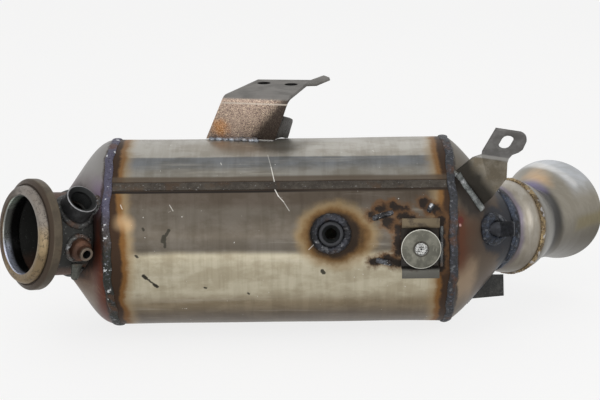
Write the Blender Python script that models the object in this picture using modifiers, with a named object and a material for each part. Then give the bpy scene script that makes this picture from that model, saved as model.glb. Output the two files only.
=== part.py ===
"""Diesel particulate filter: a used, welded steel canister with a filter brick and a catalyst brick.

Metres, +Z up. The piece is laid out on the canister's own axis (X along the barrel), and the
datum empty then moves it so that the support bracket's top face lies at the world origin.
"""

import math

import bmesh
import bpy
from mathutils import Matrix, Vector
from mathutils.bvhtree import BVHTree

# Canister
BARREL_DIAMETER = 0.165
SHELL_WALL = 0.0015
SEAT_GAP = 0.0003
SEAM_ANGLE = 44.3
SEAM_WIDTH = 0.0072
SEAM_HEIGHT = 0.0011
GIRTH_WELD_WIDTH = 0.0078
GIRTH_WELD_HEIGHT = 0.0022
PRESSED_EDGE = 0.002

# Bricks and their wrapping
FILTER_LENGTH = 0.163
CATALYST_LENGTH = 0.078
BRICK_SPACING = 0.023
BRICK_SETBACK = 0.01275
MAT_THICKNESS = 0.0042
MAT_SETBACK = 0.006

# V-band end
NECK_DIRECTION = (-0.783, -0.598, 0.172)
NECK_CROSSING = 0.0205
MOUTH_STANDOFF = 0.0046
DOME_WALL = 0.0018
DOME_FULLNESS = 0.30
DOME_DROP = 0.03
NECK_DIAMETER = 0.071
NECK_WALL = 0.002
NECK_LENGTH = 0.0338
NECK_BEAD = 0.0022
FLANGE_DIAMETER = 0.0945
FLANGE_BORE = 0.0655
FLANGE_RIM = 0.0085
FLANGE_DEPTH = 0.0165
FLANGE_LIP = 0.0050
FLANGE_GROOVE = 0.0030

# Ports on the V-band neck
OXYGEN_BOSS_DIAMETER = 0.0275
OXYGEN_BORE = 0.0184
OXYGEN_BOSS_HEIGHT = 0.0150
OXYGEN_BOSS_ALONG = 0.0130
OXYGEN_BOSS_ANGLE = 48.5
FITTING_DIAMETER = 0.0118
FITTING_BORE = 0.0064
FITTING_BASE_DIAMETER = 0.0185
FITTING_HEIGHT = 0.0150
FITTING_ALONG = 0.0130
FITTING_TAB_LENGTH = 0.0200
FITTING_TAB_WIDTH = 0.0100
PORTS_SPACING = 0.0344
PORTS_MARGIN = 33.0

# Temperature sensor boss on the barrel
TEMPERATURE_BOSS_ANGLE = 14.7
TEMPERATURE_BOSS_DIAMETER = 0.021
TEMPERATURE_BORE = 0.0095
TEMPERATURE_MOUTH = 0.0135
TEMPERATURE_BOSS_HEIGHT = 0.0065
TEMPERATURE_WELD_DIAMETER = 0.034

# Channel bracket with its riveted disc
CHANNEL_SETBACK = 0.02825
CHANNEL_ANGLE = 7.0
CHANNEL_WIDTH = 0.031
CHANNEL_OPENING = 0.0335
CHANNEL_BRIM = 0.0085
CHANNEL_DEPTH = 0.0085
CHANNEL_SHEET = 0.0016
DISC_DIAMETER = 0.0330
DISC_THICKNESS = 0.0016
DISC_STANDOFF = 0.0090
SLEEVE_DIAMETER = 0.0120
RIVET_DIAMETER = 0.0060
RIVET_HEAD_DIAMETER = 0.0106
RIVET_HEAD_HEIGHT = 0.0022

# Weld stubs near the channel bracket: place along the barrel from its middle, angle, length and turn
STUB_UPPER = (-0.0305, 25.1, 0.019, 16.0)
STUB_LOWER = (-0.0295, -2.3, 0.015, -12.0)
STUB_RIGHT = (0.0095, 29.2, 0.009, 60.0)

# Support bracket above the barrel
BRACKET_SHEET = 0.003
PLATE_CLEARANCE = 0.0395
BRACKET_BEND = 0.006
BOLT_HOLE_DIAMETER = 0.0115
FOLD_LEFT = (-0.0491, 0.0066)
FOLD_RIGHT = (0.0084, -0.0062)
PLATE_BACK_LEFT = (-0.0208, 0.0799)
PLATE_BACK_RIGHT = (0.0282, 0.0746)
FOOT_LEFT = (-0.0703, 0.0171)
FOOT_RIGHT = (-0.0084, 0.0032)
BOLT_HOLE_LEFT = (-0.0149, 0.0614)
BOLT_HOLE_RIGHT = (0.0101, 0.0537)
TONGUE_RISE = 0.004
GUSSET_DEPTH = 0.027
GUSSET_HEIGHT = 0.023
FOOT_BEAD = 0.0022

# Slotted bracket on the flare end
SLOTTED_SHEET = 0.0025
SLOTTED_INSET = 0.0325
SLOTTED_LEAN = -30.0
SLOT_WIDTH = 0.0100
SLOT_LENGTH = 0.0168
SLOT_LEAN = 9.0
SLOTTED_BEAD = 0.0030

# Lower bracket on the flare end
LOWER_SHEET = 0.003
LOWER_PLANE_Y = -0.017
LOWER_BEAD = 0.0026

# Flare end
PIPE_DIRECTION = (0.780, 0.607, -0.132)
PIPE_START = 0.0405
CONE_SHORTFALL = 0.004
CONE_WALL = 0.0018
CONE_FULLNESS = 0.284
CONE_DROP = 0.17
COLLAR_DIAMETER = 0.072
COLLAR_BULGE = 0.0845
COLLAR_LENGTH = 0.026
COLLAR_WALL = 0.0018
NECK_WELD_PLACE = -0.0004
NECK_WELD_LIFT = 0.0023
NECK_WELD_WIDTH = 0.0040
NECK_WELD_HEIGHT = 0.0018
JOINT_BEAD = 0.0028
FLARE_PIPE_WALL = 0.0018
FLARE_THROAT_DIAMETER = 0.065
FLARE_STRAIGHT = 0.034
FLARE_LENGTH = 0.053
FLARE_DIAMETER = 0.0974
FLARE_DIRECTION = (0.500, 0.866, 0.000)

# Threaded port beside the flare pipe
PORT_INSET = 0.0325
PORT_STANDOFF = 0.0007
PORT_RISE = 0.0142
PORT_DIAMETER = 0.0138
PORT_BORE = 0.0085
PORT_LENGTH = 0.0155
PORT_ROOT = 0.012

# Facets round a full turn
ROUND = 32
BOSS_ROUND = 20
SMALL_ROUND = 16

UP = Vector((0.0, 0.0, 1.0))
ALONG = Vector((1.0, 0.0, 0.0))
MILLIMETRE = 0.001
BARREL_RADIUS = BARREL_DIAMETER / 2
BARREL_LENGTH = FILTER_LENGTH + BRICK_SPACING + CATALYST_LENGTH + 2 * BRICK_SETBACK
BARREL_END = BARREL_LENGTH / 2
FILTER_END = BRICK_SETBACK + FILTER_LENGTH - BARREL_END
TEMPERATURE_BOSS_X = FILTER_END + BRICK_SPACING / 2
CHANNEL_X = BARREL_END - CHANNEL_SETBACK
BRACKET_HEIGHT = BARREL_RADIUS + PLATE_CLEARANCE
SLOTTED_PLANE_Y = SLOTTED_INSET - BARREL_RADIUS

# The world origin: the support bracket's top face, midway between its two bolt holes.
DATUM = Vector(
    (
        (BOLT_HOLE_LEFT[0] + BOLT_HOLE_RIGHT[0]) / 2,
        (BOLT_HOLE_LEFT[1] + BOLT_HOLE_RIGHT[1]) / 2,
        BRACKET_HEIGHT,
    )
)

for old_object in list(bpy.data.objects):
    bpy.data.objects.remove(old_object, do_unlink=True)

parts = bpy.data.collections.new("diesel_particulate_filter")
cutters = bpy.data.collections.new("cutters")
bpy.context.scene.collection.children.link(parts)
bpy.context.scene.collection.children.link(cutters)

datum = bpy.data.objects.new("datum", None)
datum.location = -DATUM
parts.objects.link(datum)


def metal(name, colour, roughness, metallic=1.0):
    """A Principled material with the finish of one group of pieces."""
    finish = bpy.data.materials.new(name)
    finish.use_nodes = True
    shader = finish.node_tree.nodes["Principled BSDF"]
    shader.inputs["Base Color"].default_value = (*colour, 1.0)
    shader.inputs["Roughness"].default_value = roughness
    shader.inputs["Metallic"].default_value = metallic
    return finish


TAN_STEEL = metal("heat_tinted_steel", (0.42, 0.36, 0.28), 0.38)
DARK_STEEL = metal("burnt_steel", (0.08, 0.07, 0.07), 0.60)
WELD_STEEL = metal("blue_grey_weld", (0.17, 0.18, 0.22), 0.50)
BRONZE_STEEL = metal("bronze_tinted_casting", (0.26, 0.20, 0.14), 0.45)
BRACKET_STEEL = metal("bracket_sheet", (0.26, 0.24, 0.23), 0.50)
BRIGHT_STEEL = metal("bright_steel", (0.56, 0.54, 0.48), 0.30)
BRICK_CERAMIC = metal("silicon_carbide", (0.12, 0.12, 0.13), 0.90, 0.0)
CATALYST_CERAMIC = metal("coated_cordierite", (0.30, 0.24, 0.17), 0.90, 0.0)
MAT_FIBRE = metal("fibre_mat", (0.62, 0.58, 0.50), 0.95, 0.0)


def add_part(name, mesh, finish, matrix=None):
    """One sub-part, carried by the datum."""
    piece = bpy.data.objects.new(name, mesh)
    mesh.materials.append(finish)
    parts.objects.link(piece)
    piece.parent = datum
    if matrix is not None:
        piece.matrix_local = matrix
    return piece


def add_cutter(name, mesh, matrix=None):
    """A tool body that shapes its neighbours and isn't part of the object."""
    tool = bpy.data.objects.new(name, mesh)
    cutters.objects.link(tool)
    tool.parent = datum
    tool.hide_render = True
    tool.display_type = "WIRE"
    if matrix is not None:
        tool.matrix_local = matrix
    return tool


def combine(piece, tool, operation="DIFFERENCE"):
    boolean = piece.modifiers.new(f"{operation.lower()}_{tool.name}", "BOOLEAN")
    boolean.operation = operation
    boolean.object = tool
    boolean.solver = "EXACT"
    return piece


def frame_on(origin, axis):
    """A frame at origin whose local Z points along axis."""
    turn = Vector(axis).normalized().to_track_quat("Z", "Y")
    return Matrix.Translation(Vector(origin)) @ turn.to_matrix().to_4x4()


def plane_frame(origin, across, up):
    """A frame whose X runs across and whose Y runs as near to up as it can."""
    x = Vector(across).normalized()
    z = x.cross(Vector(up)).normalized()
    y = z.cross(x)
    turn = Matrix((x, y, z)).transposed()
    return Matrix.Translation(Vector(origin)) @ turn.to_4x4()


def around(axis, degrees):
    """The direction square to axis, at this angle above its near side."""
    near = axis.cross(UP).normalized()
    if near.y > 0:
        near.negate()
    above = axis.cross(near).normalized()
    if above.z < 0:
        above.negate()
    angle = math.radians(degrees)
    return math.cos(angle) * near + math.sin(angle) * above


def shade(mesh, degrees=35.0):
    mesh.shade_smooth()
    mesh.set_sharp_from_angle(angle=math.radians(degrees))


def profile_mesh(name, profile):
    """A closed outline of (radius, height) points, outer side running downwards."""
    mesh = bpy.data.meshes.new(name)
    points = [(radius, 0.0, height) for radius, height in profile]
    edges = [(i, (i + 1) % len(points)) for i in range(len(points))]
    mesh.from_pydata(points, edges, [])
    return mesh


def spin(turned_object, steps):
    screw = turned_object.modifiers.new("turn", "SCREW")
    screw.axis = "Z"
    screw.steps = steps
    screw.render_steps = steps
    screw.use_smooth_shade = True
    return turned_object


def turned(name, profile, origin, axis, finish, steps=ROUND):
    """A turned ring or boss with a bore: its outline never reaches the axis."""
    return spin(add_part(name, profile_mesh(name, profile), finish, frame_on(origin, axis)), steps)


def rod_mesh(name, radius, length, steps):
    """A solid cylinder standing on its own origin."""
    mesh = bpy.data.meshes.new(name)
    shape = bmesh.new()
    bmesh.ops.create_cone(
        shape, cap_ends=True, segments=steps, radius1=radius, radius2=radius, depth=length,
        matrix=Matrix.Translation((0.0, 0.0, length / 2)),
    )
    shape.to_mesh(mesh)
    shape.free()
    return mesh


def rod_cutter(name, radius, origin, axis, length, steps=SMALL_ROUND):
    return add_cutter(name, rod_mesh(name, radius, length, steps), frame_on(origin, axis))


def tube_profile(outer, inner, length):
    return [(outer, length), (outer, 0.0), (inner, 0.0), (inner, length)]


def bead_profile(radius, width, height, bottom=0.0, arc=3):
    """A weld bead lying on a round face: flat below, rounded above."""
    rounded = []
    for i in range(arc + 1):
        angle = math.pi * i / arc
        rounded.append((radius + bottom + height * math.sin(angle), width / 2 * math.cos(angle)))
    return rounded


def fillet_profile(inner, outer, height, root):
    """A weld fillet round a boss, with a root that is cut to the face it lies on."""
    middle = inner + (outer - inner) * 0.55
    return [
        (inner, height),
        (middle, height * 0.72),
        (outer, 0.0),
        (outer, -root),
        (inner, -root),
    ]


def ring_points(centre, axis, radius, count=ROUND):
    """Points round a circle, starting at its highest one."""
    axis = Vector(axis).normalized()
    top = (UP - UP.dot(axis) * axis).normalized()
    side = axis.cross(top)
    points = []
    for i in range(count):
        angle = 2 * math.pi * i / count
        points.append(centre + radius * (math.cos(angle) * top + math.sin(angle) * side))
    return points


def skin_mesh(name, rings, capped=False):
    """A round skin through rings that run along their own axis, faces outwards."""
    mesh = bpy.data.meshes.new(name)
    shape = bmesh.new()
    loops = [[shape.verts.new(point) for point in ring] for ring in rings]
    count = len(rings[0])
    for low, high in zip(loops, loops[1:]):
        for i in range(count):
            j = (i + 1) % count
            shape.faces.new((low[i], low[j], high[j], high[i]))
    bmesh.ops.triangulate(shape, faces=shape.faces, quad_method="FIXED")
    if capped:
        shape.faces.new(list(reversed(loops[0])))
        shape.faces.new(loops[-1])
    shape.to_mesh(mesh)
    shape.free()
    shade(mesh)
    return mesh


def thicken(piece, thickness, offset=-1.0):
    wall = piece.modifiers.new("wall", "SOLIDIFY")
    wall.thickness = thickness
    wall.offset = offset
    wall.use_even_offset = True
    return piece


def flat_mesh(name, outline, thickness, holes=()):
    """A flat outline with its holes, as thick as the sheet and centred on it."""
    curve = bpy.data.curves.new(name, "CURVE")
    curve.dimensions = "2D"
    curve.fill_mode = "BOTH"
    curve.extrude = thickness / 2
    for loop in (outline, *holes):
        spline = curve.splines.new("POLY")
        spline.points.add(len(loop) - 1)
        for point, (x, y) in zip(spline.points, loop):
            point.co = (x, y, 0.0, 1.0)
        spline.use_cyclic_u = True
    drawing = bpy.data.objects.new(f"{name}_drawing", curve)
    parts.objects.link(drawing)
    bpy.context.view_layer.update()
    graph = bpy.context.evaluated_depsgraph_get()
    mesh = bpy.data.meshes.new_from_object(drawing.evaluated_get(graph))
    bpy.data.objects.remove(drawing, do_unlink=True)
    shape = bmesh.new()
    shape.from_mesh(mesh)
    bmesh.ops.remove_doubles(shape, verts=shape.verts, dist=1e-6)
    bmesh.ops.recalc_face_normals(shape, faces=shape.faces)
    shape.to_mesh(mesh)
    shape.free()
    return mesh


def arc_points(centre, radius, start, stop, steps):
    """Points of an arc between two angles in degrees, both ends included."""
    points = []
    for i in range(steps + 1):
        angle = math.radians(start + (stop - start) * i / steps)
        points.append((centre[0] + radius * math.cos(angle), centre[1] + radius * math.sin(angle)))
    return points


def slot_outline(centre, width, length, lean, steps=6):
    """A slot with round ends, its long axis leaning by some degrees from Y."""
    axis = Vector((math.sin(math.radians(lean)), math.cos(math.radians(lean))))
    reach = (length - width) / 2
    high = (centre[0] + axis.x * reach, centre[1] + axis.y * reach)
    low = (centre[0] - axis.x * reach, centre[1] - axis.y * reach)
    top = arc_points(high, width / 2, -lean, 180 - lean, steps)
    bottom = arc_points(low, width / 2, 180 - lean, 360 - lean, steps)
    return top + bottom


def folded_rows(left, right, setback, steps=4):
    """Rows across a folded sheet: its two side edges, with each fold rounded."""
    rows = [(Vector(left[0]), Vector(right[0]))]
    for i in range(1, len(left) - 1):
        fold_line = (Vector(right[i]) - Vector(left[i])).normalized()
        sides = []
        for edge in (left, right):
            corner = Vector(edge[i])
            ends = []
            for neighbour in (Vector(edge[i - 1]), Vector(edge[i + 1])):
                run = neighbour - corner
                square = (run - run.dot(fold_line) * fold_line).length
                ends.append(corner + run * (setback / square))
            sides.append((ends[0], corner, ends[1]))
        for step in range(steps + 1):
            t = step / steps
            row = []
            for start, corner, end in sides:
                row.append((1 - t) ** 2 * start + 2 * t * (1 - t) * corner + t * t * end)
            rows.append(tuple(row))
    rows.append((Vector(left[-1]), Vector(right[-1])))
    return rows


def sheet_mesh(name, rows):
    """An open sheet through rows of two points each."""
    mesh = bpy.data.meshes.new(name)
    shape = bmesh.new()
    loops = [[shape.verts.new(point) for point in row] for row in rows]
    for low, high in zip(loops, loops[1:]):
        shape.faces.new((low[0], low[1], high[1], high[0]))
    shape.to_mesh(mesh)
    shape.free()
    shade(mesh)
    return mesh


def bead_mesh(name, points, radius):
    """A round weld bead along a path, with closed ends."""
    curve = bpy.data.curves.new(name, "CURVE")
    curve.dimensions = "3D"
    curve.bevel_depth = radius
    curve.bevel_resolution = 2
    curve.use_fill_caps = True
    spline = curve.splines.new("POLY")
    spline.points.add(len(points) - 1)
    for point, place in zip(spline.points, points):
        point.co = (*place, 1.0)
    drawing = bpy.data.objects.new(f"{name}_path", curve)
    parts.objects.link(drawing)
    bpy.context.view_layer.update()
    graph = bpy.context.evaluated_depsgraph_get()
    mesh = bpy.data.meshes.new_from_object(drawing.evaluated_get(graph))
    bpy.data.objects.remove(drawing, do_unlink=True)
    shape = bmesh.new()
    shape.from_mesh(mesh)
    bmesh.ops.remove_doubles(shape, verts=shape.verts, dist=1e-6)
    bmesh.ops.recalc_face_normals(shape, faces=shape.faces)
    shape.to_mesh(mesh)
    shape.free()
    return mesh


# Envelopes: each stands a seat gap outside a main form, and cuts the foot of what is welded to it.
barrel_envelope = rod_cutter(
    "barrel_envelope", BARREL_RADIUS + SEAT_GAP, (-BARREL_END, 0, 0), ALONG, BARREL_LENGTH, 96
)


def barrel_direction(degrees):
    """Radial direction on the barrel's near side, at this angle above level."""
    angle = math.radians(degrees)
    return Vector((0.0, -math.cos(angle), math.sin(angle)))


# Canister shell: rolled sheet, with the hole under the temperature boss.
sensor_direction = barrel_direction(TEMPERATURE_BOSS_ANGLE)
sensor_axis_start = Vector((TEMPERATURE_BOSS_X, 0.0, 0.0))
shell = turned(
    "canister_shell",
    tube_profile(BARREL_RADIUS, BARREL_RADIUS - SHELL_WALL, BARREL_LENGTH),
    (-BARREL_END, 0, 0),
    ALONG,
    TAN_STEEL,
)
combine(
    shell,
    rod_cutter(
        "temperature_hole", TEMPERATURE_MOUTH / 2, sensor_axis_start, sensor_direction, BARREL_DIAMETER
    ),
)

# Longitudinal seam: a low bead with a curved foot that follows the barrel.
seam_reach = BARREL_END - GIRTH_WELD_WIDTH / 2 - SEAT_GAP
seam_half_angle = math.degrees(SEAM_WIDTH / 2 / BARREL_RADIUS)
seam_foot = arc_points((0, 0), BARREL_RADIUS + SEAT_GAP, -seam_half_angle, seam_half_angle, 4)
seam_crown = []
for i in range(7):
    share = i / 6
    height = SEAT_GAP + 0.25 * SEAM_HEIGHT + 0.75 * SEAM_HEIGHT * math.sin(math.pi * share)
    crown_angle = math.radians(seam_half_angle * (1 - 2 * share))
    crown_radius = BARREL_RADIUS + height
    seam_crown.append((crown_radius * math.cos(crown_angle), crown_radius * math.sin(crown_angle)))
seam_out = barrel_direction(SEAM_ANGLE)
seam_frame = plane_frame((0, 0, 0), seam_out, ALONG.cross(seam_out))
seam_weld = add_part(
    "seam_weld", flat_mesh("seam_weld", seam_foot + seam_crown, 2 * seam_reach), WELD_STEEL, seam_frame
)

# Girth welds over the joints between the barrel and its two ends.
for weld_name, end in (("v_band_girth_weld", -1), ("flare_girth_weld", 1)):
    turned(
        weld_name,
        bead_profile(BARREL_RADIUS, GIRTH_WELD_WIDTH, GIRTH_WELD_HEIGHT, SEAT_GAP),
        (end * (BARREL_END + SEAT_GAP / 2), 0, 0),
        ALONG,
        WELD_STEEL,
    )


def end_rings(side, clearance, axis, centre, small_radius, fullness, drop, stations=5):
    """Rings of a pressed end: a short straight edge at the barrel, then on to a tilted round mouth."""
    outward = side * ALONG
    edge = (BARREL_END + SEAT_GAP) * outward
    start = ring_points(edge + PRESSED_EDGE * outward, outward, BARREL_RADIUS + clearance)
    finish = ring_points(centre + clearance * axis, axis, small_radius + clearance)
    rings = [ring_points(edge, outward, BARREL_RADIUS + clearance)]
    for k in range(stations + 1):
        t = k / stations
        ring = []
        for first, last in zip(start, finish):
            span = (last - first).length
            inward = Vector((0.0, -first.y, -first.z)).normalized()
            control = first + span * (fullness * outward + drop * inward)
            ring.append((1 - t) ** 2 * first + 2 * t * (1 - t) * control + t * t * last)
        rings.append(ring)
    return rings


# V-band end: a domed pressing that narrows to a tilted mouth, then the neck and its flange.
neck_axis = Vector(NECK_DIRECTION).normalized()
neck_origin = Vector((-BARREL_END + NECK_CROSSING, 0.0, 0.0))
neck_radius = NECK_DIAMETER / 2
FITTING_ANGLE = OXYGEN_BOSS_ANGLE - math.degrees(PORTS_SPACING / neck_radius)


# The mouth stands clear of the barrel's near edge.
DOME_REACH = NECK_CROSSING * abs(neck_axis.x) + BARREL_RADIUS * abs(neck_axis.y) + MOUTH_STANDOFF


def on_neck(distance):
    return neck_origin + distance * neck_axis


def dome_rings(clearance):
    return end_rings(
        -1, clearance, neck_axis, on_neck(DOME_REACH), neck_radius, DOME_FULLNESS, DOME_DROP
    )


v_band_cone = thicken(
    add_part("v_band_end_cone", skin_mesh("v_band_end_cone", dome_rings(0.0)), TAN_STEEL), DOME_WALL
)
dome_envelope = add_cutter(
    "dome_envelope", skin_mesh("dome_envelope", dome_rings(1.5 * SEAT_GAP), capped=True)
)

neck_start = DOME_REACH + SEAT_GAP
neck = turned(
    "v_band_neck",
    tube_profile(neck_radius, neck_radius - NECK_WALL, NECK_LENGTH),
    on_neck(neck_start),
    neck_axis,
    DARK_STEEL,
)
neck_envelope = rod_cutter(
    "neck_envelope", neck_radius + SEAT_GAP, on_neck(0.0), neck_axis, neck_start + NECK_LENGTH, 96
)
turned(
    "v_band_neck_weld",
    bead_profile(neck_radius, 2.4 * NECK_BEAD, NECK_BEAD, SEAT_GAP),
    on_neck(DOME_REACH + 1.6 * NECK_BEAD),
    neck_axis,
    WELD_STEEL,
)
combine(parts.objects["v_band_neck_weld"], dome_envelope)
ports_angle = (OXYGEN_BOSS_ANGLE + FITTING_ANGLE) / 2
ports_reach = (OXYGEN_BOSS_ANGLE - FITTING_ANGLE) / 2 + PORTS_MARGIN
combine(
    parts.objects["v_band_neck_weld"],
    rod_cutter(
        "ports_room",
        (neck_radius + NECK_BEAD) * math.sin(math.radians(ports_reach)),
        on_neck(DOME_REACH),
        around(neck_axis, ports_angle),
        NECK_DIAMETER,
    ),
)

flange_start = neck_start + NECK_LENGTH + SEAT_GAP
flange_radius = FLANGE_DIAMETER / 2
flange_bore = FLANGE_BORE / 2
lip_outer = flange_bore + FLANGE_LIP
groove_outer = lip_outer + FLANGE_GROOVE
flange_face = FLANGE_DEPTH - 2.5 * MILLIMETRE
turned(
    "v_band_flange",
    [
        (flange_bore, FLANGE_DEPTH - 1.6 * MILLIMETRE),
        (flange_bore + 1.6 * MILLIMETRE, FLANGE_DEPTH),
        (lip_outer - 1.4 * MILLIMETRE, FLANGE_DEPTH),
        (lip_outer, FLANGE_DEPTH - 1.6 * MILLIMETRE),
        (lip_outer, flange_face - 2.6 * MILLIMETRE),
        (groove_outer, flange_face - 2.6 * MILLIMETRE),
        (groove_outer, flange_face),
        (flange_radius - 4.6 * MILLIMETRE, flange_face - 1.0 * MILLIMETRE),
        (flange_radius, FLANGE_RIM),
        (flange_radius, 1.0 * MILLIMETRE),
        (flange_radius - 1.0 * MILLIMETRE, 0.0),
        (flange_bore, 0.0),
    ],
    on_neck(flange_start),
    neck_axis,
    BRONZE_STEEL,
)
turned(
    "flange_weld",
    [
        (neck_radius + SEAT_GAP, -SEAT_GAP),
        (neck_radius + SEAT_GAP + 1.3 * NECK_BEAD, -SEAT_GAP),
        (neck_radius + SEAT_GAP + 0.8 * NECK_BEAD, -SEAT_GAP - 0.9 * NECK_BEAD),
        (neck_radius + SEAT_GAP, -SEAT_GAP - 1.4 * NECK_BEAD),
    ],
    on_neck(flange_start),
    neck_axis,
    WELD_STEEL,
)

# Oxygen sensor boss: a plain bored boss welded square to the neck.
oxygen_axis = around(neck_axis, OXYGEN_BOSS_ANGLE)
oxygen_foot = on_neck(DOME_REACH + OXYGEN_BOSS_ALONG) + neck_radius * oxygen_axis
oxygen_root = 0.018
oxygen_radius = OXYGEN_BOSS_DIAMETER / 2
oxygen_boss = turned(
    "oxygen_sensor_boss",
    [
        (OXYGEN_BORE / 2, OXYGEN_BOSS_HEIGHT - 1.6 * MILLIMETRE),
        (OXYGEN_BORE / 2 + 1.6 * MILLIMETRE, OXYGEN_BOSS_HEIGHT),
        (oxygen_radius - 0.7 * MILLIMETRE, OXYGEN_BOSS_HEIGHT),
        (oxygen_radius, OXYGEN_BOSS_HEIGHT - 0.7 * MILLIMETRE),
        (oxygen_radius, -oxygen_root),
        (OXYGEN_BORE / 2, -oxygen_root),
    ],
    oxygen_foot,
    oxygen_axis,
    DARK_STEEL,
    BOSS_ROUND,
)
combine(oxygen_boss, neck_envelope)
combine(oxygen_boss, dome_envelope)
combine(
    neck,
    rod_cutter("oxygen_hole", OXYGEN_BORE / 2, on_neck(DOME_REACH + OXYGEN_BOSS_ALONG), oxygen_axis, NECK_DIAMETER),
)
oxygen_weld = turned(
    "oxygen_sensor_boss_weld",
    fillet_profile(oxygen_radius + SEAT_GAP, oxygen_radius + 4.2 * MILLIMETRE, 3.0 * MILLIMETRE, oxygen_root),
    oxygen_foot - 2.0 * MILLIMETRE * oxygen_axis,
    oxygen_axis,
    WELD_STEEL,
    BOSS_ROUND,
)
combine(oxygen_weld, neck_envelope)
combine(oxygen_weld, dome_envelope)

# Pressure fitting: a stepped stub with a small bore, and the tongue that hangs from its weld.
fitting_axis = around(neck_axis, FITTING_ANGLE)
fitting_foot = on_neck(DOME_REACH + FITTING_ALONG) + neck_radius * fitting_axis
fitting_root = 0.012
fitting_step = FITTING_HEIGHT * 0.5
fitting = turned(
    "pressure_fitting",
    [
        (FITTING_BORE / 2, FITTING_HEIGHT - 0.6 * MILLIMETRE),
        (FITTING_BORE / 2 + 0.6 * MILLIMETRE, FITTING_HEIGHT),
        (FITTING_DIAMETER / 2 - 0.7 * MILLIMETRE, FITTING_HEIGHT),
        (FITTING_DIAMETER / 2, FITTING_HEIGHT - 0.7 * MILLIMETRE),
        (FITTING_DIAMETER / 2, fitting_step + 1.0 * MILLIMETRE),
        (FITTING_BASE_DIAMETER / 2 - 1.2 * MILLIMETRE, fitting_step),
        (FITTING_BASE_DIAMETER / 2, fitting_step - 1.4 * MILLIMETRE),
        (FITTING_BASE_DIAMETER / 2, -fitting_root),
        (FITTING_BORE / 2, -fitting_root),
    ],
    fitting_foot,
    fitting_axis,
    DARK_STEEL,
    SMALL_ROUND,
)
combine(fitting, neck_envelope)
combine(fitting, dome_envelope)
combine(
    neck,
    rod_cutter("fitting_hole", FITTING_BORE / 2, on_neck(DOME_REACH + FITTING_ALONG), fitting_axis, NECK_DIAMETER),
)
fitting_base = FITTING_BASE_DIAMETER / 2
fitting_weld = turned(
    "pressure_fitting_weld",
    fillet_profile(fitting_base + SEAT_GAP, fitting_base + 3.2 * MILLIMETRE, 2.4 * MILLIMETRE, fitting_root),
    fitting_foot,
    fitting_axis,
    WELD_STEEL,
    SMALL_ROUND,
)
combine(fitting_weld, neck_envelope)
combine(fitting_weld, dome_envelope)

tab_half = FITTING_TAB_WIDTH / 2
tab_top = fitting_base + SEAT_GAP + 3.5 * MILLIMETRE
tab_outline = [(-tab_half, -tab_top), (-tab_half * 0.8, -tab_top - FITTING_TAB_LENGTH * 0.55)]
tab_outline += arc_points((0, -tab_top - FITTING_TAB_LENGTH * 0.55), tab_half * 0.8, 180, 360, 8)[1:-1]
tab_outline += [(tab_half * 0.8, -tab_top - FITTING_TAB_LENGTH * 0.55), (tab_half, -tab_top)]
tab_normal = fitting_axis
tab_down = tab_normal.cross(neck_axis).normalized()
if tab_down.z > 0:
    tab_down.negate()
tab_frame = plane_frame(
    fitting_foot + 1.5 * MILLIMETRE * fitting_axis, tab_down.cross(tab_normal), -tab_down
)
add_part("fitting_tab", flat_mesh("fitting_tab", tab_outline, 2.0 * MILLIMETRE), DARK_STEEL, tab_frame)

# Temperature sensor boss, set on the barrel over the space between the bricks.
temperature_foot = sensor_axis_start + BARREL_RADIUS * sensor_direction
temperature_radius = TEMPERATURE_BOSS_DIAMETER / 2
boss_root = 0.006
temperature_boss = turned(
    "temperature_boss",
    [
        (TEMPERATURE_BORE / 2, TEMPERATURE_BOSS_HEIGHT - 2.6 * MILLIMETRE),
        (TEMPERATURE_MOUTH / 2, TEMPERATURE_BOSS_HEIGHT - 2.0 * MILLIMETRE),
        (TEMPERATURE_MOUTH / 2 + 1.2 * MILLIMETRE, TEMPERATURE_BOSS_HEIGHT),
        (temperature_radius - 1.0 * MILLIMETRE, TEMPERATURE_BOSS_HEIGHT),
        (temperature_radius, TEMPERATURE_BOSS_HEIGHT - 1.0 * MILLIMETRE),
        (temperature_radius, -boss_root),
        (TEMPERATURE_BORE / 2, -boss_root),
    ],
    temperature_foot,
    sensor_direction,
    DARK_STEEL,
    BOSS_ROUND,
)
combine(temperature_boss, barrel_envelope)
temperature_weld = turned(
    "temperature_boss_weld",
    fillet_profile(
        temperature_radius + SEAT_GAP, TEMPERATURE_WELD_DIAMETER / 2, 3.2 * MILLIMETRE, boss_root
    ),
    temperature_foot + 1.0 * MILLIMETRE * sensor_direction,
    sensor_direction,
    DARK_STEEL,
    BOSS_ROUND,
)
combine(temperature_weld, barrel_envelope)

# Channel bracket: its web lies on the barrel and its two brims face outwards.
channel_out = barrel_direction(CHANNEL_ANGLE)
channel_up = ALONG.cross(channel_out)
if channel_up.z < 0:
    channel_up.negate()


def channel_point(x, out, up):
    return (
        Vector((CHANNEL_X + x, 0.0, 0.0))
        + (BARREL_RADIUS + SEAT_GAP + out) * channel_out
        + up * channel_up
    )


web_out = CHANNEL_SHEET
brim_out = web_out + CHANNEL_DEPTH
half_opening = CHANNEL_OPENING / 2
channel_section = [
    (brim_out, half_opening + CHANNEL_BRIM),
    (brim_out, half_opening),
    (web_out, half_opening),
    (web_out, -half_opening),
    (brim_out, -half_opening),
    (brim_out, -half_opening - CHANNEL_BRIM),
]
channel_left = [channel_point(-CHANNEL_WIDTH / 2, out, up) for out, up in channel_section]
channel_right = [channel_point(CHANNEL_WIDTH / 2, out, up) for out, up in channel_section]
channel = thicken(
    add_part(
        "channel_bracket",
        sheet_mesh("channel_bracket", folded_rows(channel_left, channel_right, 2.2 * MILLIMETRE, 3)),
        BRACKET_STEEL,
    ),
    CHANNEL_SHEET,
    1.0,
)
channel_centre = channel_point(0.0, 0.0, 0.0)
combine(
    channel,
    rod_cutter("rivet_hole", RIVET_DIAMETER / 2 + SEAT_GAP, channel_centre, channel_out, 0.01),
)
sleeve_start = web_out + SEAT_GAP
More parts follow.
